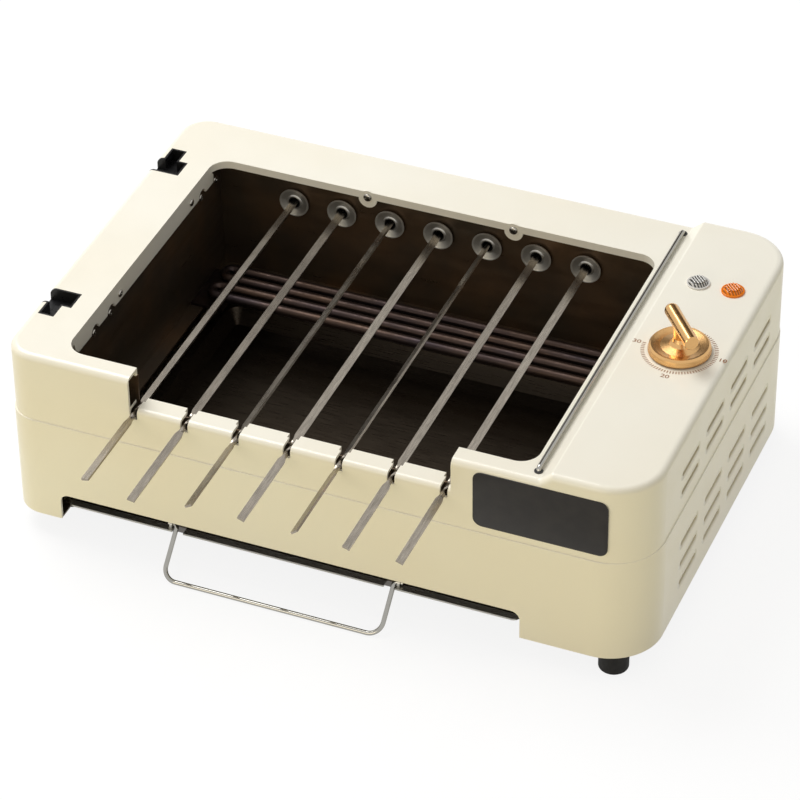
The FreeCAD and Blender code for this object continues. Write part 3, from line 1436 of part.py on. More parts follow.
def make_tray_rails():
    """Two bent rails on the base plate that carry the tray by its rim."""
    body = new_body("tray_rails")
    z_foot = z_bottom + d.sheet_thickness
    z_shelf = z_bottom + d.tray_rim_above - d.sheet_thickness - d.seat_gap
    thick = d.sheet_thickness
    profile = new_sketch(body, "profile", "XZ_Plane", -tray_back)
    reach = d.tray_side_gap - thick
    for wall_x, side in ((tray_left - reach, -1), (tray_right + reach, 1)):
        outer = wall_x + thick * side
        shelf_end = wall_x - d.rail_shelf * side
        foot_end = outer + d.rail_foot * side
        draw_polygon(profile, [
            (shelf_end, z_shelf),
            (outer, z_shelf),
            (outer, z_foot + thick),
            (foot_end, z_foot + thick),
            (foot_end, z_foot),
            (wall_x, z_foot),
            (wall_x, z_shelf - thick),
            (shelf_end, z_shelf - thick),
        ])
    pad(body, "rails", profile, tray_back - bay_front)
    return keep(body, "tray_rails")


def make_timer():
    """Timer block under the panel, its shaft, and the two-part knob."""
    body = new_body("timer_body")
    half = d.timer_body_size / 2
    block = new_sketch(body, "block", "XY_Plane", z_panel - d.wall)
    draw_rounded(block, knob_x - half, knob_x + half, d.knob_y - half, d.knob_y + half, d.small_corner)
    pad(body, "block_pad", block, d.timer_body_height, backward=True)
    bore = new_sketch(body, "bore", "XY_Plane", z_panel)
    draw_circle(bore, knob_x, d.knob_y, d.timer_shaft_radius + d.running_gap)
    pocket(body, "bore_cut", bore, d.timer_body_height / 2)
    keep(body, "timer_body")

    shaft = new_body("timer_shaft")
    place(shaft, knob_x, d.knob_y, z_panel)
    low = new_sketch(shaft, "low", "XY_Plane", -d.timer_body_height / 2 + d.seat_gap)
    draw_circle(low, 0, 0, d.timer_shaft_radius)
    pad(shaft, "rod", low, d.timer_body_height / 2 - d.seat_gap + d.knob_gap + d.knob_height - d.wall)
    keep(shaft, "timer_shaft")

    knob = new_body("timer_knob")
    turn = Rotation(Vector(0, 0, 1), d.lever_angle.value)
    place(knob, knob_x, d.knob_y, z_panel + d.knob_gap, turn)
    profile = new_sketch(knob, "profile", "XZ_Plane")
    r = d.knob_radius
    top = d.knob_height - d.knob_gap
    post = d.knob_post_radius
    bore_r = d.timer_shaft_radius + d.press_gap
    bore_top = d.knob_height - d.wall
    post_top = top + d.lever_lift - d.lever_radius / 2
    draw_polygon(profile, [
        (bore_r, 0),
        (r - d.knob_edge, 0),
        (r, d.knob_edge),
        (r - d.knob_taper, top - d.knob_chamfer),
        (r - d.knob_taper - d.knob_chamfer, top),
        (r - d.knob_taper - d.knob_chamfer - d.knob_rim, top - d.knob_edge / 4),
        (r * d.knob_dish_share, top - d.knob_chamfer),
        (post + d.knob_flare, top),
        (post + d.knob_edge, top + d.knob_flare_height / 2),
        (post, top + d.knob_flare_height),
        (post, post_top),
        (0, post_top),
        (0, bore_top),
        (bore_r, bore_top),
    ])
    revolve(knob, "turned", profile, "V_Axis")
    lever_bed = new_sketch(knob, "lever_bed", "YZ_Plane")
    draw_circle(lever_bed, 0, top + d.lever_lift, d.lever_radius)
    bed = feature_of(knob, "Pocket", "lever_bed_cut", lever_bed)
    bed.Type = "ThroughAll"
    bed.Midplane = True
    keep(knob, "timer_knob")

    lever = new_body("knob_lever")
    place(lever, knob_x, d.knob_y, z_panel + d.knob_height + d.lever_lift, turn)
    front = d.lever_length / 2
    side = new_sketch(lever, "side", "XZ_Plane")
    reach = d.lever_radius
    flat = draw_line(side, (front, 0), (front, reach - d.lever_edge))
    bevel = draw_line(side, (front, reach - d.lever_edge), (front - d.lever_edge, reach))
    long_side = draw_line(side, (front - d.lever_edge, reach), (-front + reach, reach))
    nose = draw_arc(side, (-front + reach, 0), reach, math.pi / 2, math.pi / 2)
    spine = draw_line(side, (-front, 0), (front, 0))
    constrain(side, "Coincident", flat, 2, bevel, 1)
    constrain(side, "Coincident", bevel, 2, long_side, 1)
    constrain(side, "Tangent", long_side, 2, nose, 1)
    constrain(side, "Coincident", nose, 2, spine, 1)
    constrain(side, "Coincident", spine, 2, flat, 1)
    pin_x(side, flat, 1, front)
    pin_y(side, flat, 1, 0)
    pin_x(side, flat, 2, front)
    pin_y(side, flat, 2, reach - d.lever_edge)
    pin_x(side, bevel, 2, front - d.lever_edge)
    pin_y(side, bevel, 2, reach)
    pin_x(side, nose, 3, -front + reach)
    pin_y(side, nose, 3, 0)
    revolve(lever, "turned", side, "H_Axis")
    keep(lever, "knob_lever")


def make_lamps():
    """Two pilot lamps: a bezel ring each and a shallow domed lens."""
    bezels = new_body("lamp_bezels")
    ring = new_sketch(bezels, "ring", "XY_Plane", z_panel)
    for x in (clear_lamp_x, orange_lamp_x):
        draw_circle(ring, x, lamp_y, d.bezel_radius)
        draw_circle(ring, x, lamp_y, d.lamp_radius + d.socket_fit)
    rings = pad(bezels, "rings", ring, d.bezel_height)
    round_edges(bezels, "soft", rings, d.bezel_round, lambda edge: (
        near(edge.BoundBox.ZMin, z_panel + d.bezel_height)
        and near(edge.BoundBox.XLength, d.bezel_radius * 2)))
    keep(bezels, "lamp_bezels")
    for name, x in (("lamp_lens_clear", clear_lamp_x), ("lamp_lens_orange", orange_lamp_x)):
        lens = new_body(name)
        place(lens, x, lamp_y, z_panel)
        profile = new_sketch(lens, "profile", "XZ_Plane")
        dome = [
            (d.lamp_radius * across, d.bezel_height + d.lamp_dome * up)
            for across, up in LENS_CURVE
        ]
        draw_polygon(profile, [
            (0, -d.wall * 4),
            (d.lamp_radius, -d.wall * 4),
            (d.lamp_radius, d.bezel_height),
            *dome,
            (0, d.bezel_height + d.lamp_dome),
        ])
        revolve(lens, "turned", profile, "V_Axis")
        keep(lens, name)


def make_rest_wire():
    """Polished rod on the rim, its ends bent down into two holes."""
    body = new_body("rest_wire")
    z = z_rim + d.rest_lift
    bend = d.rest_lift
    path = new_sketch(body, "path", "YZ_Plane", rest_x)
    low = z_rim - d.rest_depth
    y0 = rest_front.value
    y1 = rest_back.value
    b = bend.value
    half = math.pi / 2
    parts = [
        draw_line(path, (y0, low), (y0, z - b)),
        draw_arc(path, (y0 + b, z - b), b, half, half),
        draw_line(path, (y0 + b, z), (y1 - b, z)),
        draw_arc(path, (y1 - b, z - b), b, 0.0, half),
        draw_line(path, (y1, z - b), (y1, low)),
    ]
    for index, (end, start) in enumerate([(2, 2), (1, 1), (2, 2), (1, 1)]):
        constrain(path, "Tangent", parts[index], end, parts[index + 1], start)
    constrain(path, "Vertical", parts[0])
    constrain(path, "Horizontal", parts[2])
    constrain(path, "Vertical", parts[4])
    constrain(path, "Radius", parts[1], size=bend)
    constrain(path, "Equal", parts[1], parts[3])
    pin_x(path, parts[0], 1, rest_front)
    pin_y(path, parts[0], 1, low)
    pin_x(path, parts[4], 2, rest_back)
    pin_y(path, parts[4], 2, low)
    pin_y(path, parts[2], 1, z)
    section = new_sketch(body, "section", "XY_Plane", low)
    draw_circle(section, rest_x, rest_front, d.rest_radius)
    pipe = feature_of(body, "AdditivePipe", "rod", section)
    pipe.Spine = (path, ["Edge%d" % (index + 1) for index in range(len(parts))])
    return keep(body, "rest_wire")


def make_lid_socket(name, corner_y, direction):
    """Black L-shaped insert in the rim, open at the top and the outer side."""
    body = new_body(name)
    outer = new_sketch(body, "outer", "XY_Plane", z_rim)
    draw_lid_socket(outer, corner_y, direction, d.socket_fit)
    pad(body, "block", outer, d.socket_depth, backward=True)
    inner = new_sketch(body, "inner", "XY_Plane", z_rim)
    draw_lid_socket(inner, corner_y, direction, d.socket_fit + d.socket_wall)
    pocket(body, "hollow", inner, d.socket_depth - d.socket_wall)
    trim = new_sketch(body, "trim", "XZ_Plane")
    draw_socket_trim(trim)
    pocket_through(body, "trim_cut", trim)
    return keep(body, name)


def draw_socket_trim(sketch):
    """What lies outside the shell's rounded left edge, seen from the front."""
    face = -upper_half_width
    r = d.rim_round
    outer = -half_width - d.overcut * 2
    top = z_rim + d.overcut
    low = z_rim - d.socket_depth - d.overcut
    arc = draw_arc(sketch, (face + r, z_rim - r), r, math.pi / 2, math.pi / 2)
    points = [
        (face + r, z_rim),
        (face + r, top),
        (outer, top),
        (outer, low),
        (face, low),
        (face, z_rim - r),
    ]
    lines = []
    for start, end in zip(points, points[1:]):
        lines.append(draw_line(sketch, start, end))
    constrain(sketch, "Coincident", arc, 1, lines[0], 1)
    for first, second in zip(lines, lines[1:]):
        constrain(sketch, "Coincident", first, 2, second, 1)
    constrain(sketch, "Coincident", lines[-1], 2, arc, 2)
    for line, (x, y) in zip(lines, points):
        pin_x(sketch, line, 1, x)
        pin_y(sketch, line, 1, y)
    pin_y(sketch, lines[-1], 2, z_rim - r)
    pin_x(sketch, arc, 3, face + r)
    pin_y(sketch, arc, 3, z_rim - r)


def make_power_inlet():
    """Appliance inlet in the back wall, with its recess and three pins."""
    body = new_body("power_inlet")
    flange = new_sketch(body, "flange", "XZ_Plane", -half_depth)
    draw_inlet_box(flange, d.inlet_flange)
    pad(body, "flange_pad", flange, d.wall, backward=True)
    box = new_sketch(body, "box", "XZ_Plane", -half_depth)
    draw_inlet_box(box, Size.of(0))
    pad(body, "box_pad", box, d.inlet_depth)
    mouth = new_sketch(body, "mouth", "XZ_Plane", -half_depth - d.wall)
    draw_inlet_box(mouth, -d.wall)
    pocket(body, "mouth_cut", mouth, d.inlet_depth - d.wall, backward=True)
    pins = new_sketch(body, "pins", "XZ_Plane", -half_depth + d.inlet_depth - d.wall)
    z = z_bottom + d.inlet_above
    spread = d.inlet_width / 4
    for x, lift in ((-1, -1), (0, 1), (1, -1)):
        cx = inlet_x + spread * x
        cz = z + lift * d.wall
        draw_box(pins, cx - d.wall / 2, cx + d.wall / 2, cz - d.wall, cz + d.wall)
    pad(body, "pins_pad", pins, d.inlet_depth - d.wall * 3, backward=True)
    return keep(body, "power_inlet")


def make_controls():
    """Thermostat on the liner, terminal block and heat shield beside it."""
    thermostat = new_body("thermostat")
    disc = new_sketch(thermostat, "disc", "YZ_Plane", liner_right + d.sheet_thickness)
    draw_circle(disc, bay_middle_y, z_bottom + d.tube_above + d.tube_pitch, d.thermostat_radius)
    pad(thermostat, "disc_pad", disc, d.thermostat_height)
    keep(thermostat, "thermostat")

    block = new_body("terminal_block")
    plan = new_sketch(block, "plan", "XY_Plane", z_bottom + d.sheet_thickness)
    left = shield_x + d.shield_foot + d.wall
    back = bay_middle_y + d.tube_bank_offset / 2
    draw_box(plan, left, left + d.terminal_length, back - d.terminal_width, back)
    pad(block, "plan_pad", plan, d.terminal_height)
    keep(block, "terminal_block")

    shield = new_body("heat_shield")
    reach = d.tube_bank_offset + d.shield_overhang
    profile = new_sketch(shield, "profile", "XZ_Plane", -bay_middle_y - reach)
    low = z_bottom + d.sheet_thickness
    high = z_rim - d.wall - d.shield_top_gap
    thick = d.sheet_thickness
    draw_polygon(profile, [
        (shield_x, high),
        (shield_x + thick, high),
        (shield_x + thick, low + thick),
        (shield_x + d.shield_foot, low + thick),
        (shield_x + d.shield_foot, low),
        (shield_x, low),
    ])
    pad(shield, "sheet", profile, reach * 2)
    keep(shield, "heat_shield")


make_upper_shell()
make_lower_shell()
make_base_plate()
make_feet()
make_bay_liner()
make_liner_back_wall()
make_gear_plate()
make_gear_motor()
make_drive_train()
make_heating_tube("heating_tube_front", -1)
make_heating_tube("heating_tube_back", 1)
make_element_brackets()
make_drip_tray()
make_tray_handle()
make_tray_rails()
make_timer()
make_lamps()
make_rest_wire()
make_lid_socket("lid_socket_front", front_socket_y, -1)
make_lid_socket("lid_socket_back", back_socket_y, 1)
make_power_inlet()
make_controls()

document.recompute()
for thing in document.Objects:
    if "Invalid" in thing.State or "Error" in thing.State:
        raise RuntimeError("%s failed: %s" % (thing.Name, thing.State))
for piece in pieces:
    if piece.Shape.isNull() or not piece.Shape.isValid():
        raise RuntimeError("bad shape: " + piece.Label)

os.makedirs("parts", exist_ok=True)
for piece in pieces:
    piece.Shape.exportStep("parts/%s.step" % piece.Label)
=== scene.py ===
"""Skewer grill: finishes, small fittings, marks, floor and light round the fixed frame.

Metres, +Z up, front of the grill towards -Y, origin on the table under its middle.
"""

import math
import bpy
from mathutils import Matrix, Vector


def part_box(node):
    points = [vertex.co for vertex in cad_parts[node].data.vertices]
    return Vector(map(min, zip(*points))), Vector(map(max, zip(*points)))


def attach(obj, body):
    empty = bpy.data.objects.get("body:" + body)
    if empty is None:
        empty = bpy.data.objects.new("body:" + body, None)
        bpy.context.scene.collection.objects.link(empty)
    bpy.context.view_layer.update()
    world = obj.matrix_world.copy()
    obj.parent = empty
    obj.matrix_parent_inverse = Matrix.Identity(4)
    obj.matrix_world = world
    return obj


bl_info = {
    "name": "Skewer grill dressing",
    "version": (1, 0, 0),
    "blender": (4, 5, 0),
    "location": "3D View > Sidebar > Skewer grill",
    "description": "Finishes, fasteners, dial marks and studio for a skewer grill",
    "category": "Object",
}

import bmesh
import bpy
from bpy.props import (
    FloatProperty,
    FloatVectorProperty,
    IntProperty,
    PointerProperty,
)
from mathutils import Matrix, Vector

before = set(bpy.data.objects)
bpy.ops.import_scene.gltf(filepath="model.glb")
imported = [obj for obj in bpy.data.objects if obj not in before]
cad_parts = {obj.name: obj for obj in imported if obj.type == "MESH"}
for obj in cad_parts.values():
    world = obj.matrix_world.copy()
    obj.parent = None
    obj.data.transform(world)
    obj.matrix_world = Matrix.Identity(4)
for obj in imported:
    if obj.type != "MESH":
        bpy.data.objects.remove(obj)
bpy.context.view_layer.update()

MM = 0.001
UP = Vector((0.0, 0.0, 1.0))


def paint(red, green, blue):
    """A colour from a paint chart's 0 to 255 values, as light."""
    chart = [value / 255 for value in (red, green, blue)]
    return tuple(
        value / 12.92 if value <= 0.04045 else ((value + 0.055) / 1.055) ** 2.4
        for value in chart
    )


def colour(name, description, red, green, blue):
    """A colour setting with its default."""
    return FloatVectorProperty(
        name=name,
        description=description,
        subtype="COLOR",
        size=3,
        min=0.0,
        max=1.0,
        default=paint(red, green, blue),
    )


def length(name, description, millimetres):
    """A length setting with its default."""
    return FloatProperty(
        name=name,
        description=description,
        unit="LENGTH",
        min=0.0,
        default=millimetres * MM,
    )


# Settings


class GrillFinishSettings(bpy.types.PropertyGroup):
    """Colours of the grill's own finishes."""

    enamel: colour("Enamel", "Cream enamel of the housing", 251, 247, 233)
    liner: colour("Liner", "Dark coating of the roasting bay", 88, 77, 64)
    sheath: colour("Tube sheath", "Heating tubes and their brackets", 74, 58, 47)
    skewer: colour("Skewer steel", "Brushed steel of the skewers", 184, 175, 162)
    plated: colour("Plated steel", "Screws, motor and back wall", 186, 184, 178)
    chrome: colour("Chrome", "Bail and rest rod", 166, 164, 158)
    gold: colour("Gold", "Timer knob and its lever", 214, 170, 114)
    plastic: colour("Black plastic", "Lid sockets and power inlet", 24, 24, 25)
    rubber: colour("Rubber", "Feet", 15, 14, 12)
    nylon: colour("Nylon", "Gears", 232, 228, 214)
    clear_lamp: colour("Clear lamp", "Left pilot lamp", 204, 202, 196)
    orange_lamp: colour("Orange lamp", "Right pilot lamp", 240, 128, 4)
    enamel_rough: FloatProperty(
        name="Enamel roughness",
        description="Gloss of the enamel, lower is shinier",
        subtype="FACTOR",
        min=0.0,
        max=1.0,
        default=0.34,
    )


class GrillFastenerSettings(bpy.types.PropertyGroup):
    """Sizes of the screws."""

    bay_head: length("Bay screw head", "Radius of the bay's screw heads", 2.5)
    tab_head: length("Tab screw head", "Radius of the tab screw heads", 2.9)
    base_head: length("Base screw head", "Radius of the base's screw heads", 3.1)
    head_height: length("Head height", "How far a head stands proud", 1.3)
    recess: length("Cross recess", "Depth of the cross in a head", 0.9)


class GrillDialSettings(bpy.types.PropertyGroup):
    """Marks round the timer knob and on its skirt."""

    ink: colour("Ink", "Printed marks and numbers", 138, 92, 58)
    tick_inner: length("Tick start", "Radius where a tick starts", 22.0)
    tick_length: length("Tick length", "How long a tick is", 2.5)
    tick_width: length("Tick width", "How wide a tick is", 0.66)
    minutes: IntProperty(
        name="Minutes", description="Full scale of the timer", min=10, default=30
    )
    figure_radius: length("Number radius", "Middle of the numbers", 28.2)
    figure_height: length("Number height", "Height of the numbers", 3.3)
    ribs: IntProperty(
        name="Skirt ribs",
        description="Ribs round the knob's skirt",
        min=12,
        default=84,
    )


class GrillPlateSettings(bpy.types.PropertyGroup):
    """The bare front plate."""

    black: colour("Plate", "Front plate", 25, 20, 16)
    left: length("Left edge", "Left edge of the front plate", 103.2)
    width: length("Width", "Width of the front plate", 87.3)
    low: length("Lower edge", "Height of the lower edge", 96.0)
    height: length("Height", "Height of the front plate", 41.5)
    corner: length("Corner", "Corner radius", 6.0)
    thickness: length("Thickness", "How far the plate stands proud", 0.45)


class GrillStageSettings(bpy.types.PropertyGroup):
    """Floor, light and camera."""

    floor: colour("Floor", "Pale floor as the eye sees it", 255, 255, 255)
    bounce: colour("Bounce", "Warm light that the floor throws back", 236, 228, 184)
    white: FloatProperty(
        name="White", description="How white the floor looks beside its shadow", default=0.84
    )
    flag: colour("Flag", "Dark card that polished metal mirrors", 92, 84, 76)
    sky: FloatProperty(name="Sky", description="Even light all round", default=0.38)
    key: FloatProperty(name="Key", description="Power of the left lamp", default=36.0)
    fill: FloatProperty(name="Fill", description="Power of the front lamp", default=10.5)
    warmth: colour("Warmth", "Tint of the front lamp", 255, 239, 206)
    azimuth: FloatProperty(
        name="Azimuth", description="Camera's side angle, degrees", default=22.73
    )
    elevation: FloatProperty(
        name="Elevation", description="Camera's height angle, degrees", default=37.57
    )
    roll: FloatProperty(
        name="Roll", description="Camera's tilt, degrees", default=-0.68
    )
    lens: FloatProperty(
        name="Lens", description="Focal length, millimetres", default=171.52
    )
    stand: FloatVectorProperty(
        name="Stand",
        description="Where the camera stands",
        subtype="XYZ",
        unit="LENGTH",
        size=3,
        default=(0.75695, -1.81689, 1.57307),
    )


# Node helpers


def add(tree, kind, inputs=None, **settings):
    """A node of that kind; an input is a value or another node's output."""
    made = tree.nodes.new(kind)
    for name, value in settings.items():
        setattr(made, name, value)
    for name, value in (inputs or {}).items():
        socket = made.inputs[name]
        if isinstance(value, bpy.types.NodeSocket):
            tree.links.new(value, socket)
        else:
            socket.default_value = value
    return made


def opaque(tint):
    """A colour with full cover."""
    return (*tint, 1.0)


class Finish:
    """One finish: a principled surface with its own colour, gloss and relief."""

    def __init__(self, name):
        self.material = bpy.data.materials.new(name)
        self.material.use_nodes = True
        self.tree = self.material.node_tree
        self.surface = self.tree.nodes["Principled BSDF"]
        self.place = add(self.tree, "ShaderNodeTexCoord").outputs["Object"]

    def set(self, **values):
        """Values that are the same all over."""
        for label, value in values.items():
            self.surface.inputs[label.replace("_", " ")].default_value = value
        return self

    def stretched(self, scale, centre=(0.0, 0.0, 0.0)):
        """The surface's coordinates, drawn out by one scale for each direction."""
        return add(
            self.tree,
            "ShaderNodeMapping",
            {"Vector": self.place, "Location": centre, "Scale": scale},
        ).outputs["Vector"]

    def cloud(self, scale, detail=2.0, rough=0.5, where=None):
        """A soft random value between 0 and 1."""
        return add(
            self.tree,
            "ShaderNodeTexNoise",
            {
                "Vector": where or self.place,
                "Scale": scale,
                "Detail": detail,
                "Roughness": rough,
            },
        ).outputs["Fac"]

    def between(self, value, low, high, start=0.3, end=0.7):
        """A value moved into another range."""
        return add(
            self.tree,
            "ShaderNodeMapRange",
            {
                "Value": value,
                "From Min": start,
                "From Max": end,
                "To Min": low,
                "To Max": high,
            },
        ).outputs["Result"]

    def blended(self, amount, first, second):
        """Two colours mixed by an amount."""
        mixed = add(self.tree, "ShaderNodeMix", data_type="RGBA")
        for index, value in ((0, amount), (6, first), (7, second)):
            if isinstance(value, bpy.types.NodeSocket):
                self.tree.links.new(value, mixed.inputs[index])
            else:
                mixed.inputs[index].default_value = value
        return mixed.outputs[2]

    def math(self, operation, first, second=0.0):
        """One sum on two values."""
        node = add(self.tree, "ShaderNodeMath", operation=operation)
        for index, value in enumerate((first, second)):
            if isinstance(value, bpy.types.NodeSocket):
                self.tree.links.new(value, node.inputs[index])
            else:
                node.inputs[index].default_value = value
        return node.outputs["Value"]

    def within(self, value, low, high):
        """One where a value lies between two others, otherwise nought."""
        return add(
            self.tree,
            "ShaderNodeMath",
            {0: value, 1: (low + high) / 2, 2: (high - low) / 2},
            operation="COMPARE",
        ).outputs["Value"]

    def axes(self, where=None):
        """The three coordinates on their own."""
        split = add(self.tree, "ShaderNodeSeparateXYZ", {0: where or self.place})
        return split.outputs["X"], split.outputs["Y"], split.outputs["Z"]

    def join(self, label, value):
        """Drives one of the surface's inputs."""
        self.tree.links.new(value, self.surface.inputs[label])
        return self

    def relief(self, height, depth, strength=1.0):
        """Fine relief from a height, depth metres deep."""
        bump = add(
            self.tree,
            "ShaderNodeBump",
            {"Height": height, "Distance": depth, "Strength": strength},
        )
        return self.join("Normal", bump.outputs["Normal"])


def fresh_tree(name, wanted):
    """A geometry tree with named inputs and one geometry output."""
    tree = bpy.data.node_groups.new(name, "GeometryNodeTree")
    tree.interface.new_socket(
        name="Geometry", in_out="OUTPUT", socket_type="NodeSocketGeometry"
    )
    tree.interface.new_socket(
        name="Geometry", in_out="INPUT", socket_type="NodeSocketGeometry"
    )
    for label, kind in wanted:
        tree.interface.new_socket(name=label, in_out="INPUT", socket_type=kind)
    return tree, add(tree, "NodeGroupInput").outputs


def close_tree(tree, geometry, finish):
    """Ends a tree in real geometry with its finish."""
    real = add(tree, "GeometryNodeRealizeInstances", {"Geometry": geometry})
    coated = add(
        tree,
        "GeometryNodeSetMaterial",
        {"Geometry": real.outputs["Geometry"], "Material": finish},
    )
    add(tree, "NodeGroupOutput", {"Geometry": coated.outputs["Geometry"]})


def sum_of(tree, operation, first, second=None):
    """A number worked out inside a geometry tree."""
    node = add(tree, "ShaderNodeMath", operation=operation)
    for index, value in enumerate((first, second)):
        if isinstance(value, bpy.types.NodeSocket):
            tree.links.new(value, node.inputs[index])
        elif value is not None:
            node.inputs[index].default_value = value
    return node.outputs["Value"]


def piece(name, mesh, finish, body):
    """A plain mesh at the origin, in its finish, that rides on a body."""
    made = bpy.data.objects.new(name, mesh)
    bpy.context.scene.collection.objects.link(made)
    if finish is not None:
        mesh.materials.clear()
        mesh.materials.append(finish)
    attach(made, body)
    return made


def grown(name, source, tree, inputs, body):
    """Runs a geometry tree over a mesh and keeps the result as a plain piece."""
    carrier = bpy.data.objects.new(name + "_carrier", source)
    bpy.context.scene.collection.objects.link(carrier)
    modifier = carrier.modifiers.new("grow", "NODES")
    modifier.node_group = tree
    sockets = {
        item.name: item.identifier
        for item in tree.interface.items_tree
        if item.in_out == "INPUT"
    }
    for label, value in inputs.items():
        modifier[sockets[label]] = value
    graph = bpy.context.evaluated_depsgraph_get()
    mesh = bpy.data.meshes.new_from_object(carrier.evaluated_get(graph))
    bpy.data.objects.remove(carrier)
    mesh.name = name
    if not mesh.polygons:
        raise RuntimeError("%s came out empty" % name)
    return piece(name, mesh, None, body)


def mesh_from(name, work, smooth=True):
    """Closes a bmesh into a mesh with its faces outwards."""
    bmesh.ops.recalc_face_normals(work, faces=work.faces)
    for face in work.faces:
        face.smooth = smooth
    mesh = bpy.data.meshes.new(name)
    work.to_mesh(mesh)
    work.free()
    return mesh


def sharpen(mesh, degrees=35.0):
    """Keeps edges crisp that turn more than an angle."""
    mesh.set_sharp_from_angle(angle=math.radians(degrees))
    return mesh


def turned(profile, steps=32):
    """A closed solid from a profile of (radius, height) turned about +Z."""
    work = bmesh.new()
    rings = []
    for radius, height in profile:
        if radius < 1e-7:
            rings.append([work.verts.new((0.0, 0.0, height))])
            continue
        ring = []
        for step in range(steps):
            angle = math.tau * step / steps
            ring.append(
                work.verts.new(
                    (radius * math.cos(angle), radius * math.sin(angle), height)
                )
            )
        rings.append(ring)
    for low, high in zip(rings, rings[1:]):
        for step in range(steps):
            following = (step + 1) % steps
            if len(low) == 1 and len(high) == 1:
                continue
            if len(low) == 1:
                work.faces.new((low[0], high[following], high[step]))
            elif len(high) == 1:
                work.faces.new((low[step], low[following], high[0]))
            else:
                work.faces.new(
                    (low[step], low[following], high[following], high[step])
                )
    return work


def rounded_outline(width, height, radius, steps=8):
    """Points of a rounded rectangle about the origin, anticlockwise."""
    points = []
    for turn, (side, rise) in enumerate(((1, 1), (-1, 1), (-1, -1), (1, -1))):
        centre_x = side * (width / 2 - radius)
        centre_y = rise * (height / 2 - radius)
        for step in range(steps + 1):
            angle = math.pi / 2 * (turn + step / steps)
            points.append(
                (
                    centre_x + radius * math.cos(angle),
                    centre_y + radius * math.sin(angle),
                )
            )
    return points


def plate_solid(width, height, corner, thickness, edge):
    """A rounded plate lying on z 0 with a softened upper edge."""
    work = bmesh.new()
    rings = []
    for inset, level in (
        (0.0, 0.0),
        (0.0, thickness - edge),
        (edge * 0.3, thickness - edge * 0.3),
        (edge, thickness),
    ):
        outline = rounded_outline(
            width - 2 * inset, height - 2 * inset, max(corner - inset, edge)
        )
        rings.append([work.verts.new((x, y, level)) for x, y in outline])
    for low, high in zip(rings, rings[1:]):
        for index in range(len(low)):
            after = (index + 1) % len(low)
            work.faces.new((low[index], low[after], high[after], high[index]))
    work.faces.new(list(reversed(rings[0])))
    work.faces.new(rings[-1])
    return work


def dress(finish, *names):
    """Gives CAD nodes their finish."""
    for name in names:
        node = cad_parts[name]
        if not node.material_slots:
            node.data.materials.append(finish)
        for holder in node.material_slots:
            holder.material = finish


def numbered(stem, count):
    """The names of a row of like nodes."""
    return ["%s_%d" % (stem, index + 1) for index in range(count)]


SKEWERS = sum(1 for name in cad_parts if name.startswith("skewer_"))
IDLERS = sum(1 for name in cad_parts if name.startswith("idler_gear_"))


def node_box(name):
    """Lowest and highest corner of a CAD node, as vectors."""
    low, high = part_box(name)
    return Vector(low), Vector(high)


# Finishes


LOUVRE_ROWS = (0.034, 0.049, 0.065, 0.106, 0.120)
LOUVRE_FIRST = -0.0655
LOUVRE_PITCH = 0.047
LOUVRE_HALF = 0.0138


def louvre_distance(made, along, up):
    """How far a point of the right wall is from the middle line of its louvre."""
    shifted = made.math("SUBTRACT", along, LOUVRE_FIRST - LOUVRE_PITCH / 2)
    local = made.math("SUBTRACT", made.math("FLOORED_MODULO", shifted, LOUVRE_PITCH),
                      LOUVRE_PITCH / 2)
    beyond = made.math("MAXIMUM", made.math(
        "SUBTRACT", made.math("ABSOLUTE", local), LOUVRE_HALF), 0.0)
    rows = [made.math("ABSOLUTE", made.math("SUBTRACT", up, row)) for row in LOUVRE_ROWS]
    nearest = rows[0]
    for row in rows[1:]:
        nearest = made.math("MINIMUM", nearest, row)
    squares = made.math("ADD", made.math("POWER", beyond, 2.0), made.math("POWER", nearest, 2.0))
    low, high = LOUVRE_FIRST - LOUVRE_PITCH / 2, LOUVRE_FIRST + LOUVRE_PITCH * 3.5
    off_row = made.math("SUBTRACT", 1.0, made.within(along, low, high))
    return made.math("ADD", made.math("SQRT", squares), off_row)


